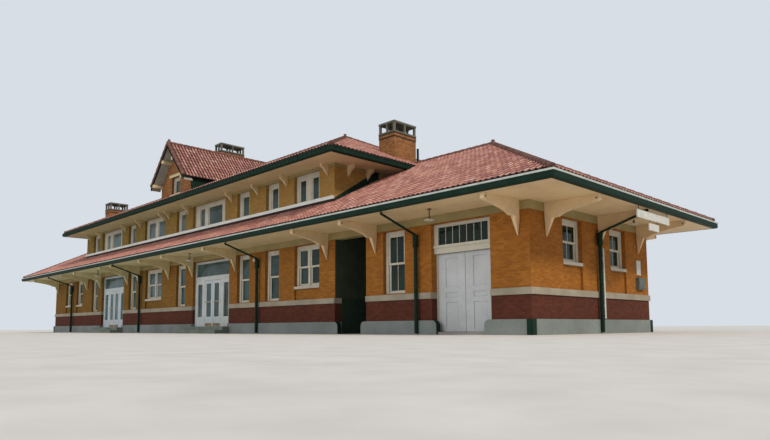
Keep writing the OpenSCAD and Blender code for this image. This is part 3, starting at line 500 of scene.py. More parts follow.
class Parts:
    """Collects the boxes, turned shapes and prisms of one piece."""

    def __init__(self):
        self.verts, self.faces = [], []

    def add(self, verts, faces):
        base = len(self.verts)
        self.verts += [tuple(v) for v in verts]
        self.faces += [tuple(base + i for i in f) for f in faces]

    def box(self, corner, opposite, bevel=0.003):
        """A box between two corners, its long edges chamfered by the bevel."""
        lo, hi = low_high(corner, opposite)
        axis = max(range(3), key=lambda i: hi[i] - lo[i])
        a, b = [i for i in range(3) if i != axis]
        ring = [(lo[a] + bevel, lo[b]), (hi[a] - bevel, lo[b]),
                (hi[a], lo[b] + bevel), (hi[a], hi[b] - bevel),
                (hi[a] - bevel, hi[b]), (lo[a] + bevel, hi[b]),
                (lo[a], hi[b] - bevel), (lo[a], lo[b] + bevel)]
        verts = []
        for end in (lo[axis], hi[axis]):
            for p in ring:
                v = [0.0, 0.0, 0.0]
                v[axis], v[a], v[b] = end, p[0], p[1]
                verts.append(v)
        n = len(ring)
        sides = [(i, (i + 1) % n, n + (i + 1) % n, n + i) for i in range(n)]
        self.add(verts, sides + [tuple(reversed(range(n))), tuple(range(n, 2 * n))])

    def taper(self, bottom, top):
        """A solid between two level rectangles, each (x0, x1, y0, y1, z)."""
        corners = []
        for x0, x1, y0, y1, z in (bottom, top):
            corners += [(x0, y0, z), (x1, y0, z), (x0, y1, z), (x1, y1, z)]
        self.add(corners, [(0, 2, 3, 1), (4, 5, 7, 6), (0, 1, 5, 4),
                           (2, 6, 7, 3), (0, 4, 6, 2), (1, 3, 7, 5)])

    def lathe(self, place, axis, profile, count):
        """Turns (distance along the axis, radius) pairs about an axis from a place,
        with this count of flat sides."""
        axis = Vector(axis).normalized()
        side = axis.orthogonal().normalized()
        other = axis.cross(side)
        verts, faces = [], []
        for along, radius in profile:
            for i in range(count):
                turn = 2 * math.pi * i / count
                spoke = side * math.cos(turn) + other * math.sin(turn)
                verts.append(Vector(place) + axis * along + spoke * radius)
        for j in range(len(profile) - 1):
            for i in range(count):
                k = (i + 1) % count
                faces.append((j * count + i, j * count + k, (j + 1) * count + k, (j + 1) * count + i))
        faces.append(tuple(reversed(range(count))))
        last = (len(profile) - 1) * count
        faces.append(tuple(range(last, last + count)))
        self.add(verts, faces)

    def prism(self, outline, offset):
        """An outline of points in space, pushed along an offset."""
        n = len(outline)
        verts = [Vector(p) for p in outline] + [Vector(p) + Vector(offset) for p in outline]
        faces = [tuple(range(n)), tuple(reversed(range(n, 2 * n)))]
        faces += [(i, i + n, (i + 1) % n + n, (i + 1) % n) for i in range(n)]
        self.add(verts, faces)

    def make(self, name, look, body="station"):
        """Makes the piece, with every face turned outwards."""
        piece = add_piece(name, self.verts, self.faces, [look], body)
        shape = bmesh.new()
        shape.from_mesh(piece.data)
        bmesh.ops.recalc_face_normals(shape, faces=shape.faces)
        shape.to_mesh(piece.data)
        shape.free()


def islands(name):
    """The lowest and highest corner of each solid in a CAD node."""
    mesh = nodes[name].data
    co = np.zeros(len(mesh.vertices) * 3, np.float32)
    mesh.vertices.foreach_get("co", co)
    co = co.reshape(-1, 3)
    keys, where = {}, []
    for p in np.round(co, 5):
        where.append(keys.setdefault(tuple(p), len(keys)))
    parent = list(range(len(keys)))

    def root(i):
        while parent[i] != i:
            parent[i] = parent[parent[i]]
            i = parent[i]
        return i

    for poly in mesh.polygons:
        first = root(where[poly.vertices[0]])
        for v in poly.vertices[1:]:
            parent[root(where[v])] = first
    groups = {}
    for index, key in enumerate(where):
        groups.setdefault(root(key), []).append(index)
    return sorted((tuple(co[g].min(0)), tuple(co[g].max(0))) for g in groups.values())


def long_axis(lo, hi):
    """The level axis, 0 for X or 1 for Y, along which a solid is longer."""
    return 0 if hi[0] - lo[0] > hi[1] - lo[1] else 1


# Roof slopes: half sizes at the eaves, heights, and level distances in from the eave
tan_low, tan_up, tan_gable = (math.tan(angle) for angle in (ROOF_ANGLE, UPPER_ANGLE, GABLE_ANGLE))
LOWER_X = HALF_L + EAVE
LOWER_Y = HALF_W + EAVE
LOWER_TOP = EAVE_Z + LOWER_Y * tan_low
UPPER_X = UPPER_HALF + UPPER_EAVE
UPPER_Y = HALF_W + UPPER_EAVE
UPPER_TOP = UPPER_EAVE_Z + UPPER_Y * tan_up
GABLE_Y = HALF_W + RAKE
GABLE_EAVE_Z = GABLE_RIDGE_Z - GABLE_REACH * tan_gable
GABLE_EAVE_RUN = (GABLE_EAVE_Z - UPPER_EAVE_Z) / tan_up
GABLE_MEET_RUN = GABLE_REACH - (GABLE_RIDGE_Z - UPPER_TOP) / tan_gable


def upper_roof_y(z):
    """How far the upper roof reaches from the middle line at a height."""
    return max(0.0, UPPER_Y - (z - UPPER_EAVE_Z) / tan_up)


# Roof tiles: rows of rolls and pans over each slope
TILE_W = 0.109
TILE_ROW = 0.165
TILE_LIFT = 0.002
TILE_STEP = 0.011
TILE_COLUMNS = (0.0, 0.2, 0.3, 0.4, 0.5, 0.6, 0.7, 0.8)
ROLL_H = 0.024
ROLL_HALF = 0.3
ROLL_FULLNESS = 0.8
UV_FOOT = 0.1
UV_EDGE = 0.12
UV_HEAD = 0.9
UV_MARGIN = 0.001
LEAST_ROW = 0.0001
LEAST_SPAN = 0.01
LEAST_QUAD = 0.000001


def roll_height(phase):
    """Height of the roll over a tile's width, as the phase goes from 0 to 1."""
    reach = np.clip(1 - np.abs(phase - 0.5) / ROLL_HALF, 0, 1)
    return ROLL_H * np.sin(reach * math.pi / 2) ** ROLL_FULLNESS


def tile_slope(name, origin, inward, angle, bands):
    """Tiles a slope. A band is (start, end, spans): between these level distances in from
    the eave, spans(distance) lists the stretches along the eave that it covers."""
    origin = Vector(origin)
    along = Vector((inward[1], -inward[0], 0))
    uphill = Vector((inward[0], inward[1], math.tan(angle))).normalized()
    normal = along.cross(uphill)
    level = math.cos(angle)
    verts, faces, uvs, look_indices = [], [], [], []

    def strip(low, high, columns, uv_low, uv_high, look_index):
        """Quads between two edges, each (distances along, distance uphill, heights)."""
        base, n = len(verts), len(columns)
        for us, v, hs in (low, high):
            for u, h in zip(us, hs):
                verts.append(origin + along * float(u) + uphill * float(v) + normal * float(h))
        for i in range(n - 1):
            if low[0][i + 1] - low[0][i] + high[0][i + 1] - high[0][i] < LEAST_QUAD:
                continue
            cell = math.floor((columns[i] + columns[i + 1]) / 2)
            a, b = (cell + min(max(c - cell, UV_MARGIN), 1 - UV_MARGIN) for c in columns[i:i + 2])
            faces.append((base + i, base + i + 1, base + n + i + 1, base + n + i))
            uvs.extend([(a, uv_low), (b, uv_low), (b, uv_high), (a, uv_high)])
            look_indices.append(look_index)

    def heights(us, v, foot):
        """How far a row's tiles stand off the slope, at places along it."""
        return TILE_LIFT + roll_height((us / TILE_W) % 1) + TILE_STEP * (1 - (v - foot) / TILE_ROW)

    for start_run, end_run, spans in bands:
        start, end = start_run / level, end_run / level
        for row in range(int(start / TILE_ROW), math.ceil(end / TILE_ROW)):
            foot = row * TILE_ROW
            v0, v1 = max(foot, start), min(foot + TILE_ROW, end)
            if v1 - v0 < LEAST_ROW:
                continue
            for (a0, b0), (a1, b1) in zip(spans(v0 * level), spans(v1 * level)):
                if b0 - a0 + b1 - a1 < LEAST_SPAN:
                    continue
                first, last = math.floor(min(a0, a1) / TILE_W), math.ceil(max(b0, b1) / TILE_W)
                columns = np.array([c + p for c in range(first, last) for p in TILE_COLUMNS] + [last])
                low_us, high_us = np.clip(columns * TILE_W, a0, b0), np.clip(columns * TILE_W, a1, b1)
                low_hs, high_hs = heights(low_us, v0, foot), heights(high_us, v1, foot)
                low, high = (low_us, v0, low_hs), (high_us, v1, high_hs)
                strip(low, high, columns, row + UV_FOOT, row + UV_HEAD, 0)
                if v0 == foot:
                    eave = row == 0
                    under = (low_us, v0, low_hs * 0 if eave else low_hs - TILE_STEP)
                    # At the eave the ends of the tiles take the gap finish, painted shade under the rolls
                    strip(under, low, columns, row + UV_FOOT, row + UV_EDGE, int(eave))
    add_piece(name, verts, faces, [clay_tile, gap_shade], "station", uvs, look_indices)


def hipped(half):
    """Spans of a slope between two hips."""
    return lambda run: [(run - half, half - run)]


def parted(half, middle, gap):
    """Spans of a slope between two hips, with half a gap, gap(run), either side of its middle."""
    def spans(run):
        stretches = ((run - half, middle - gap(run)), (middle + gap(run), half - run))
        return [(a, max(a, b)) for a, b in stretches]
    return spans


def valley(run):
    """Half the width of the gable roof where the upper roof runs into it."""
    return (GABLE_RIDGE_Z - UPPER_EAVE_Z - run * tan_up) / tan_gable


def gable_low(run):
    """Spans of a gable slope outside the upper roof."""
    near = upper_roof_y(GABLE_RIDGE_Z - (GABLE_REACH - run) * tan_gable)
    return [(-GABLE_Y, -near), (near, GABLE_Y)]


for side, way in (("front", 1), ("rear", -1)):
    tile_slope(f"lower_{side}_tiles", (0, -LOWER_Y * way, EAVE_Z), (0, way), ROOF_ANGLE,
               [(0, EAVE, hipped(LOWER_X)),
                (EAVE, LOWER_Y, parted(LOWER_X, UPPER_MID * way, lambda run: UPPER_HALF))])
    middle = (GABLE_X - UPPER_MID) * way
    tile_slope(f"upper_{side}_tiles", (UPPER_MID, -UPPER_Y * way, UPPER_EAVE_Z), (0, way), UPPER_ANGLE,
               [(0, UPPER_EAVE, hipped(UPPER_X)),
                (UPPER_EAVE, GABLE_EAVE_RUN, parted(UPPER_X, middle, lambda run: GABLE_HALF)),
                (GABLE_EAVE_RUN, UPPER_Y, parted(UPPER_X, middle, valley))])

for side, way in (("right", 1), ("left", -1)):
    tile_slope(f"lower_{side}_tiles", (LOWER_X * way, 0, EAVE_Z), (-way, 0), ROOF_ANGLE,
               [(0, LOWER_Y, hipped(LOWER_Y))])
    tile_slope(f"upper_{side}_tiles", (UPPER_MID + UPPER_X * way, 0, UPPER_EAVE_Z), (-way, 0), UPPER_ANGLE,
               [(0, UPPER_Y, hipped(UPPER_Y))])
    gable_eave = (GABLE_X + GABLE_REACH * way, 0, GABLE_EAVE_Z)
    tile_slope(f"gable_{side}_tiles", gable_eave, (-way, 0), GABLE_ANGLE,
               [(0, GABLE_MEET_RUN, gable_low),
                (GABLE_MEET_RUN, GABLE_REACH, lambda run: [(-GABLE_Y, GABLE_Y)])])


# Hip and ridge tiles, with finials where the hips meet and at the ends of the gable ridge
CAP_LENGTH = 0.2
CAP_OVERLAP = 0.03
CAP_R = 0.058
CAP_LIFT = Vector((0, 0, 0.012))
RAKE_CAP_IN = 0.03
FINIAL = ((-0.02, 0.07), (0.03, 0.066), (0.05, 0.045), (0.065, 0.036), (0.08, 0.044), (0.095, 0.04),
          (0.107, 0.026), (0.112, 0.012))
GABLE_FINIAL_IN = 0.06
GABLE_FINIAL_LIFT = 0.02


def cap_line(parts, start, end):
    """A row of overlapping cap tiles from one point to another."""
    start, end = Vector(start) + CAP_LIFT, Vector(end) + CAP_LIFT
    axis = end - start
    count = max(1, round(axis.length / CAP_LENGTH))
    step = axis / count
    reach = step.length + CAP_OVERLAP
    profile = ((0, CAP_R * 0.8), (0, CAP_R), (0.02, CAP_R), (reach, CAP_R * 0.82), (reach, CAP_R * 0.6))
    for i in range(count):
        parts.lathe(start + step * i, axis, profile, count=12)


def finial(parts, place):
    parts.lathe(place, UPWARDS, FINIAL, count=16)


caps = Parts()
for sx in SIDES:
    low_apex = (sx * (LOWER_X - LOWER_Y), 0, LOWER_TOP)
    high_apex = (UPPER_MID + sx * (UPPER_X - UPPER_Y), 0, UPPER_TOP)
    for sy in SIDES:
        cap_line(caps, (sx * LOWER_X, sy * LOWER_Y, EAVE_Z), low_apex)
        cap_line(caps, (UPPER_MID + sx * UPPER_X, sy * UPPER_Y, UPPER_EAVE_Z), high_apex)
    cap_line(caps, low_apex, (UPPER_MID + sx * UPPER_HALF, 0, LOWER_TOP))
    cap_line(caps, high_apex, (GABLE_X, 0, UPPER_TOP))
    finial(caps, low_apex)
    finial(caps, high_apex)
cap_line(caps, (GABLE_X, -GABLE_Y, GABLE_RIDGE_Z), (GABLE_X, GABLE_Y, GABLE_RIDGE_Z))
for sy in SIDES:
    finial(caps, (GABLE_X, sy * (GABLE_Y - GABLE_FINIAL_IN), GABLE_RIDGE_Z + GABLE_FINIAL_LIFT))
    y = sy * (GABLE_Y - RAKE_CAP_IN)
    for sx in SIDES:
        cap_line(caps, (GABLE_X + sx * GABLE_REACH, y, GABLE_EAVE_Z), (GABLE_X, y, GABLE_RIDGE_Z))
caps.make("ridge_tiles", ridge_clay)

# Glazing bars, from the panes of the ground floor's glass
BAR_W = 0.013
BAR_OUT = 0.007
# The light over the freight doors is known by its width
FREIGHT_LIGHT_MIN = 1.0
FREIGHT_LIGHT_MAX = 1.5
FREIGHT_LIGHT_BARS = 6
# Windows beyond these places, of the freight room and the left-hand end, have one bar
FREIGHT_ROOM_X = 8.4
END_PANES_X = 0.3 - HALF_L


def glazing_bars(parts, lo, hi, count):
    """Upright bars that divide a pane into equal lights, proud of both its faces."""
    wide = long_axis(lo, hi)
    thin = 1 - wide
    for i in range(1, count + 1):
        mid = lo[wide] + (hi[wide] - lo[wide]) * i / (count + 1)
        a, b = list(lo), list(hi)
        a[wide], b[wide] = mid - BAR_W / 2, mid + BAR_W / 2
        a[thin], b[thin] = lo[thin] - BAR_OUT, hi[thin] + BAR_OUT
        parts.box(a, b)


bars = Parts()
for lo, hi in islands("ground_glass"):
    mid_x, width = (lo[0] + hi[0]) / 2, max(hi[0] - lo[0], hi[1] - lo[1])
    if FREIGHT_LIGHT_MIN < width < FREIGHT_LIGHT_MAX:
        glazing_bars(bars, lo, hi, FREIGHT_LIGHT_BARS)
    elif mid_x > FREIGHT_ROOM_X or mid_x < END_PANES_X:
        glazing_bars(bars, lo, hi, 1)
bars.make("glazing_bars", white_paint)


# Drip strip along the lower gutter
def ring_boxes(parts, half_x, half_y, mid_x, depth, z0, z1):
    """Four boxes round a plan, just inside the given half sizes."""
    for s in SIDES:
        parts.box((mid_x - half_x, s * half_y, z0), (mid_x + half_x, s * (half_y - depth), z1))
        parts.box((mid_x + s * half_x, depth - half_y, z0),
                  (mid_x + s * (half_x - depth), half_y - depth, z1))


DRIP_OUT = GUTTER_OUT + 0.004
DRIP_T = 0.016
DRIP_Z = SOFFIT_Z + 0.098
DRIP_H = 0.03
drip = Parts()
ring_boxes(drip, LOWER_X + DRIP_OUT, LOWER_Y + DRIP_OUT, 0, DRIP_T, DRIP_Z, DRIP_Z + DRIP_H)
drip.make("drip_strip", drip_metal)

# Hangers of the upper gutter
HANGER_STEP = 0.16
HANGER_START = 0.03
HANGER_HALF = 0.008
HANGER_T = 0.03
HANGER_Z = UPPER_SOFFIT_Z + 0.010
HANGER_H = 0.115
hangers = Parts()
for s in SIDES:
    y = s * (UPPER_Y + GUTTER_OUT + 0.002)
    for i in range(int(2 * UPPER_X / HANGER_STEP) + 1):
        x = UPPER_MID - UPPER_X + HANGER_START + i * HANGER_STEP
        hangers.box((x - HANGER_HALF, y, HANGER_Z),
                    (x + HANGER_HALF, y - s * HANGER_T, HANGER_Z + HANGER_H), bevel=0.002)
hangers.make("gutter_hangers", green_paint)

# Frieze of the upper storey
UPPER_FRIEZE_T = 0.014
UPPER_FRIEZE_H = 0.065
upper_frieze = Parts()
ring_boxes(upper_frieze, UPPER_HALF + UPPER_FRIEZE_T, HALF_W + UPPER_FRIEZE_T, UPPER_MID, UPPER_FRIEZE_T,
           UPPER_SOFFIT_Z - UPPER_FRIEZE_H, UPPER_SOFFIT_Z)
upper_frieze.make("upper_frieze", frieze_painted_shade)

# Boards on the face of the band under the upper windows
FACING = 0.004
band_face = HALF_W + BAND_OUT
band_half = UPPER_HALF + 0.002
facing = Parts()
for s in SIDES:
    facing.box((UPPER_MID - band_half, s * (band_face - FACING), BAND_Z - 0.003),
               (UPPER_MID + band_half, s * (band_face + FACING), BAND_Z + BAND_H + FACING))
facing.make("upper_band_boards", band_paint)

# Flashing over the pent roofs, up to the band, near-black as painted shade under the band
PENT_TOP = EAVE_Z + EAVE * tan_low
FLASHING_T = 0.03
FLASHING_LAP = 0.02
flashing = Parts()
for s in SIDES:
    flashing.box((UPPER_MID - UPPER_HALF, s * HALF_W, PENT_TOP - FLASHING_LAP),
                 (UPPER_MID + UPPER_HALF, s * (HALF_W + FLASHING_T), BAND_Z), bevel=0.004)
flashing.make("wall_flashing", gap_shade)

# Flashing where the lower roof meets the upper end walls, as y and height over the slope
END_FLASHING = ((HALF_W, 0.02), (HALF_W, 0.10), (0.95, 0.24), (0.95, 0.02))
END_FLASHING_T = 0.014
end_flashing = Parts()
for sx in SIDES:
    x = UPPER_MID + sx * UPPER_HALF
    for sy in SIDES:
        outline = [(x, sy * y, EAVE_Z + (LOWER_Y - y) * tan_low + lift) for y, lift in END_FLASHING]
        end_flashing.prism(outline, (sx * END_FLASHING_T, 0, 0))
end_flashing.make("stepped_flashing", green_paint)

# Cross gable: rake boards, boards under the rakes, purlin ends and lintels
RAKE_BOARD_T = 0.03
ROOF_DEPTH = 0.075 / math.cos(GABLE_ANGLE)
# Depths of a strip's two edges under the top of the slope
RAKE_BOARD = (0.01, 0.13)
RAKE_SOFFIT = (ROOF_DEPTH + 0.001, ROOF_DEPTH + 0.013)
RAKE_SOFFIT_W = RAKE - RAKE_BOARD_T - 0.002
PURLIN_PLACES = (GABLE_REACH - 0.16, 0.33)
PURLIN_DROP = ROOF_DEPTH + 0.02
PURLIN_HALF = 0.04
PURLIN_H = 0.10
# Each lintel: half width, foot, top
LINTELS = ((0.40, 4.87, 4.96), (0.36, 4.27, 4.33))
LINTEL_T = 0.03


def rake_strip(parts, sx, y, depths, offset):
    """A strip along one slope of the gable roof, between two depths under its top."""
    eave_x = GABLE_X + sx * GABLE_REACH
    upper, lower = depths
    parts.prism([(eave_x, y, GABLE_EAVE_Z - upper), (GABLE_X, y, GABLE_RIDGE_Z - upper),
                 (GABLE_X, y, GABLE_RIDGE_Z - lower), (eave_x, y, GABLE_EAVE_Z - lower)], (0, offset, 0))


rake_boards = Parts()
rake_soffits = Parts()
lintels = Parts()
for sy in SIDES:
    for sx in SIDES:
        rake_strip(rake_boards, sx, sy * GABLE_Y, RAKE_BOARD, -sy * RAKE_BOARD_T)
        rake_strip(rake_soffits, sx, sy * HALF_W, RAKE_SOFFIT, sy * RAKE_SOFFIT_W)
        for out in PURLIN_PLACES:
            x = GABLE_X + sx * out
            z = GABLE_RIDGE_Z - out * tan_gable - PURLIN_DROP
            lintels.box((x - PURLIN_HALF, sy * GABLE_Y, z - PURLIN_H),
                        (x + PURLIN_HALF, sy * HALF_W, z), bevel=0.012)
    for half, z0, z1 in LINTELS:
        lintels.box((GABLE_X - half, sy * HALF_W, z0),
                    (GABLE_X + half, sy * (HALF_W + LINTEL_T), z1), bevel=0.006)
rake_boards.make("gable_rake_boards", green_paint)
rake_soffits.make("gable_rake_soffits", rake_paint)
lintels.make("gable_lintels", cream_paint)

# Dark boards on the cheeks of the cross gable
CHEEK_BOARD = 0.08
CHEEK_T = 0.012
CHEEK_FOOT = UPPER_EAVE_Z + UPPER_EAVE * tan_up
CHEEK_TOP = GABLE_RIDGE_Z - GABLE_HALF * tan_gable - ROOF_DEPTH
cheeks = Parts()
for sx in SIDES:
    x = GABLE_X + sx * GABLE_HALF
    for sy in SIDES:
        z = CHEEK_FOOT
        while z < CHEEK_TOP - 0.01:
            top = min(z + CHEEK_BOARD, CHEEK_TOP)
            cheeks.prism([(x, sy * HALF_W, z), (x, sy * min(upper_roof_y(z), HALF_W), z),
                          (x, sy * upper_roof_y(top), top), (x, sy * HALF_W, top)], (sx * CHEEK_T, 0, 0))
            z += CHEEK_BOARD
cheeks.make("gable_cheeks", green_paint)

# The middle bracket of each end wall, cut like its neighbours, beside the downspout
BRACKET_T = 0.08
# Its lower edge, as distance out and drop
BRACKET_UNDER = ((0.970, 0.090), (0.930, 0.106), (0.880, 0.116), (0.692, 0.140), (0.542, 0.166),
                 (0.435, 0.187), (0.342, 0.212), (0.282, 0.238), (0.242, 0.263), (0.143, 0.270),
                 (0.0, 0.270))
BRACKET_REACH = BRACKET_UNDER[0][0]
BRACKET_H = BRACKET_UNDER[-1][1]
BRACKET_SEAT = HALF_L + FRIEZE_OUT + SEAT
BRACKET_TOP = SOFFIT_Z - SEAT
BRACKET_NEAR = 0.056
BRACKET_FAR = BRACKET_NEAR + BRACKET_T
FOOT_OUT = 0.14
FOOT_DROP = 0.58
FOOT_TIP = 0.012


def foot_end(way, out, width, drop):
    """A level rectangle of the bracket's foot, as far down as the drop."""
    mid = BRACKET_NEAR + BRACKET_T / 2
    return (way * BRACKET_SEAT, way * (BRACKET_SEAT + out),
            way * (mid - width / 2), way * (mid + width / 2), BRACKET_TOP - drop)


middle_brackets = Parts()
for way in SIDES:
    side = [(0.0, 0.0), (BRACKET_REACH, 0.0), *BRACKET_UNDER]
    middle_brackets.prism([(way * (BRACKET_SEAT + out), way * BRACKET_FAR, BRACKET_TOP - drop)
                           for out, drop in side], (0, -way * BRACKET_T, 0))
    middle_brackets.taper(foot_end(way, FOOT_TIP, FOOT_TIP, FOOT_DROP),
                          foot_end(way, FOOT_OUT, BRACKET_T, BRACKET_H))
middle_brackets.make("middle_end_brackets", cream_paint)

# Knobs on both faces of the lower brackets, near their tips
KNOB = ((0, 0.015), (0.006, 0.015), (0.010, 0.010), (0.012, 0.004))
KNOB_IN = 0.045
KNOB_DROP = 0.058
UPPER_BRACKETS_Z = 3


def add_knobs(parts, lo, hi):
    """Two knobs on the bracket between these corners."""
    across = long_axis(lo, hi)
    thin = 1 - across
    tip = max(lo[across], hi[across], key=abs)
    for face, way in ((lo[thin], -1), (hi[thin], 1)):
        place, axis = [0.0, 0.0, hi[2] - KNOB_DROP], [0.0, 0.0, 0.0]
        place[across], place[thin], axis[thin] = tip - math.copysign(KNOB_IN, tip), face, way
        parts.lathe(place, axis, KNOB, count=12)


bosses = Parts()
for way in SIDES:
    add_knobs(bosses, *low_high((way * BRACKET_SEAT, way * BRACKET_NEAR, BRACKET_TOP - BRACKET_H),
                                (way * (BRACKET_SEAT + BRACKET_REACH), way * BRACKET_FAR, BRACKET_TOP)))
for lo, hi in islands("eave_brackets"):
    if hi[2] < UPPER_BRACKETS_Z:
        add_knobs(bosses, lo, hi)
bosses.make("bracket_bosses", ridge_clay)

# Straps on the pipes and rims on the cups of the downspouts, as foot and inner radius
COLLARS = ((0.32, PIPE_R), (1.0, PIPE_R), (1.664, CUP_R), (1.862, CUP_R))
COLLAR_OUT = 0.005
collars = Parts()
for lo, hi in islands("downspouts"):
    mid = [(lo[i] + hi[i]) / 2 for i in range(2)]
    across = long_axis(lo, hi)
    mid[across] = min(lo[across], hi[across], key=abs) + math.copysign(CUP_R, mid[across])
    for z, r in COLLARS:
        wide = r + COLLAR_OUT
        profile = ((0, r), (0.004, wide), (0.024, wide), (0.028, r))
        collars.lathe((mid[0], mid[1], z), UPWARDS, profile, count=16)
collars.make("downspout_collars", green_paint)

# Brown stems of the eave lamps
LAMP_NECK = 0.034
STEM_R = 0.0105
stems = Parts()
for lo, hi in islands("eave_lamps"):
    place = ((lo[0] + hi[0]) / 2, (lo[1] + hi[1]) / 2, lo[2] + LAMP_NECK)
    drop = hi[2] - place[2]
    profile = ((0, 0.030), (0.012, 0.026), (0.030, 0.013), (0.040, STEM_R),
               (drop - 0.020, STEM_R), (drop - 0.018, 0.037), (drop - 0.004, 0.038))
    stems.lathe(place, UPWARDS, profile, count=14)
stems.make("lamp_stems", stem_brown)

# Globes on the downspouts nearest to the middle of the front and of the rear
GLOBE_R = 0.034
GLOBE_FOOT = 1.80
GLOBE = ((0, 0.010), (0.006, 0.022), (0.020, 0.031), (0.045, GLOBE_R), (0.070, 0.028), (0.085, 0.014),
         (0.090, 0.011), (0.100, 0.011))
GLOBE_RANGE = 5
globes = Parts()
for lo, hi in islands("downspouts"):
    mid_x = (lo[0] + hi[0]) / 2
    if long_axis(lo, hi) == 1 and abs(mid_x) <= GLOBE_RANGE:
        inner = min(lo[1], hi[1], key=abs)
        y = inner + math.copysign(2 * CUP_R + GLOBE_R, inner)
        globes.lathe((mid_x, y, GLOBE_FOOT), UPWARDS, GLOBE, count=14)
globes.make("downspout_globes", lamp_enamel)

# Boards that line the passage above its belt course
BOARD_STEP = 0.085
BOARD_GAP = 0.005
BOARD_START = 0.012 - HALF_W
BOARD_FOOT = BELT_TOP + 0.005
BOARD_TOP = SOFFIT_Z - 0.06
lining = Parts()
for side in SIDES:
    face = PASSAGE_X + side * PASSAGE_HALF
    for i in range(int((2 * HALF_W - 0.02) / BOARD_STEP)):
        y = BOARD_START + i * BOARD_STEP
        lining.box((face - side * 0.010, y, BOARD_FOOT),
                   (face + side * 0.001, y + BOARD_STEP - BOARD_GAP, BOARD_TOP))
lining.make("passage_boards", passage_boards)

# Brick courses under the chimney caps, dark with soot and painted shade, as foot, top and distance out of
# each
COURSES = ((-0.034, -0.001, -0.004), (-0.128, -0.094, -0.006))
COURSE_T = 0.02
courses = Parts()
for lo, hi in islands("chimney_caps"):
    mid_x, mid_y = (lo[0] + hi[0]) / 2, (lo[1] + hi[1]) / 2
    half_x, half_y = (hi[0] - lo[0]) / 2, (hi[1] - lo[1]) / 2
    for foot, top, out in COURSES:
        z0, z1 = lo[2] + foot, lo[2] + top
        for s in SIDES:
            courses.box((mid_x - half_x - out, mid_y + s * (half_y + out), z0),
                        (mid_x + half_x + out, mid_y + s * (half_y - COURSE_T), z1), bevel=0.002)
            courses.box((mid_x + s * (half_x + out), mid_y - half_y + COURSE_T, z0),
                        (mid_x + s * (half_x - COURSE_T), mid_y + half_y - COURSE_T, z1), bevel=0.002)
courses.make("sooty_shaded_courses", soot_and_shade_brick)

# Bare boards that hang under the eave of the right-hand end
SIGN_X = HALF_L + 1.0
# Each board: half thickness, then y and z of two corners
SIGNS = ((0.012, (-0.48, 2.015), (0.93, 2.16)), (0.010, (0.01, 1.835), (0.44, 1.965)))
signs = Parts()
for half, near, far in SIGNS:
    signs.box((SIGN_X - half, *near), (SIGN_X + half, *far), bevel=0.004)
signs.make("hanging_boards", plate_white)

# Each pair of rods: foot, places in y, profile
SIGN_RODS = ((2.15, (-0.40, 0.85), ((0, 0.006), (0.01, 0.006), (0.08, 0.006))),
             (1.96, (0.06, 0.39), ((0, 0.004), (0.03, 0.004), (0.06, 0.004))))
rods = Parts()
for z, places, profile in SIGN_RODS:
    for y in places:
        rods.lathe((SIGN_X, y, z), UPWARDS, profile, count=8)
rods.make("board_hangers", green_paint)

# Plate and meter box on the right-hand end wall, each with y and z of two corners
PLATE = ((1.74, 1.19), (1.94, 1.495))
PLATE_T = 0.008
METER = ((1.68, 0.885), (2.0, 1.13))
METER_X = HALF_L + 0.07
METER_DOOR = ((1.71, 0.91), (1.97, 1.105))
METER_DOOR_T = 0.008
wall_plate = Parts()
wall_plate.box((HALF_L - 0.001, *PLATE[0]), (HALF_L + PLATE_T, *PLATE[1]))
wall_plate.make("wall_plate", plate_white)
meter = Parts()
meter.box((HALF_L, *METER[0]), (METER_X, *METER[1]), bevel=0.008)
meter.box((METER_X, *METER_DOOR[0]), (METER_X + METER_DOOR_T, *METER_DOOR[1]))
meter.make("meter_box", box_grey)

# A pale conduit strapped to the downspout of that wall
CONDUIT_R = 0.018
CONDUIT_FOOT = 0.275
CONDUIT_H = 1.32
SOCKET_R = CONDUIT_R + 0.003
STRAP_HEIGHTS = (0.50, 0.95, 1.40)
STRAP_H = 0.014
conduit = Parts()
pipe_x = max(lo[0] for lo, hi in islands("downspouts")) + CUP_R
run_x, run_y = pipe_x + 0.022, CUP_R + 0.018
profile = ((0, CONDUIT_R), (0.010, SOCKET_R), (0.030, SOCKET_R), (0.040, CONDUIT_R),
           (CONDUIT_H, CONDUIT_R))
conduit.lathe((run_x, run_y, CONDUIT_FOOT), UPWARDS, profile, count=12)
for z in STRAP_HEIGHTS:
    conduit.box((pipe_x - 0.006, PIPE_R - 0.010, z), (run_x + 0.006, run_y + 0.010, z + STRAP_H))
conduit.make("wall_conduit", plate_white)

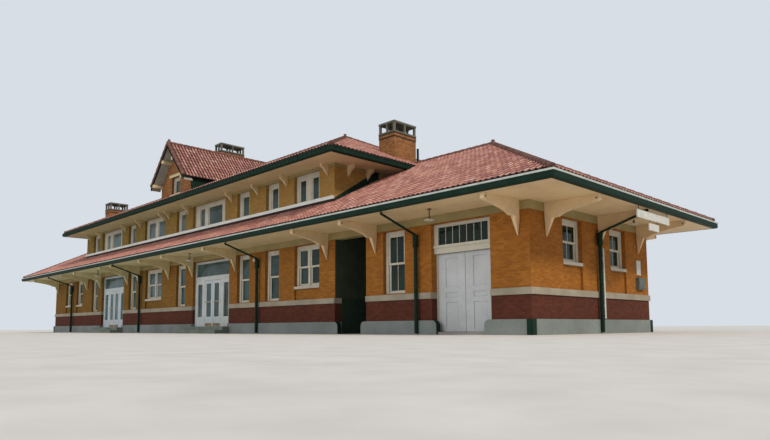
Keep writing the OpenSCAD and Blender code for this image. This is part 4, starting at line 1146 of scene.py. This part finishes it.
# Kick plates and push bars on the main door leaves
LEAF_T = 0.036
KICK_IN = 0.03
KICK_FOOT = 0.01
KICK_TOP = 0.085
PUSH_BAR_Z = 0.884
PUSH_BAR_IN = 0.09
PUSH_POST_IN = 0.11
for n, hand in MAIN_LEAVES:
    lo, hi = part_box(f"main_{n}_{hand}_leaf")
    face = hi.y - LEAF_T
    fittings = Parts()
    fittings.box((lo.x + KICK_IN, face - 0.003, lo.z + KICK_FOOT),
                 (hi.x - KICK_IN, face + 0.001, lo.z + KICK_TOP), bevel=0.001)
    fittings.box((lo.x + PUSH_BAR_IN, face - 0.03, PUSH_BAR_Z - 0.012),
                 (hi.x - PUSH_BAR_IN, face - 0.015, PUSH_BAR_Z + 0.012), bevel=0.004)
    for x in (lo.x + PUSH_POST_IN, hi.x - PUSH_POST_IN):
        fittings.box((x - 0.008, face - 0.02, PUSH_BAR_Z - 0.008),
                     (x + 0.008, face + 0.001, PUSH_BAR_Z + 0.008), bevel=0.002)
    fittings.make(f"main_{n}_{hand}_fittings", brass, f"main_door_{n}_{hand}")

# Mouldings round the panels of the freight leaves, as foot and top of each panel
FREIGHT_LEAF_W = 0.629
FREIGHT_STILE = 0.165
FREIGHT_PANELS = ((0.09, 0.60), (0.67, 0.78), (0.87, 1.42))
MOULD_W = 0.013
for hand in ("left", "right"):
    lo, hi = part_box(f"freight_{hand}_leaf")
    start = hi.x - FREIGHT_LEAF_W if hand == "left" else lo.x
    x0, x1 = start + FREIGHT_STILE, start + FREIGHT_LEAF_W - FREIGHT_STILE
    y0, y1 = lo.y - 0.003, lo.y + 0.012
    mouldings = Parts()
    for z0, z1 in FREIGHT_PANELS:
        for z in (z0, z1 - MOULD_W):
            mouldings.box((x0, y0, z), (x1, y1, z + MOULD_W))
        for x in (x0, x1 - MOULD_W):
            mouldings.box((x, y0, z0), (x + MOULD_W, y1, z1))
    mouldings.make(f"freight_{hand}_mouldings", leaf_paint, f"freight_door_{hand}")

# Floor
FLOOR_HALF = 120
FLOOR_Z = -0.002
FLOOR_CORNERS = [(-FLOOR_HALF, -FLOOR_HALF, FLOOR_Z), (FLOOR_HALF, -FLOOR_HALF, FLOOR_Z),
                 (FLOOR_HALF, FLOOR_HALF, FLOOR_Z), (-FLOOR_HALF, FLOOR_HALF, FLOOR_Z)]
mesh = bpy.data.meshes.new("floor")
mesh.from_pydata(FLOOR_CORNERS, [], [(0, 1, 2, 3)])
floor = bpy.data.objects.new("floor", mesh)
floor.data.materials.append(floor_paper)
bpy.context.scene.collection.objects.link(floor)
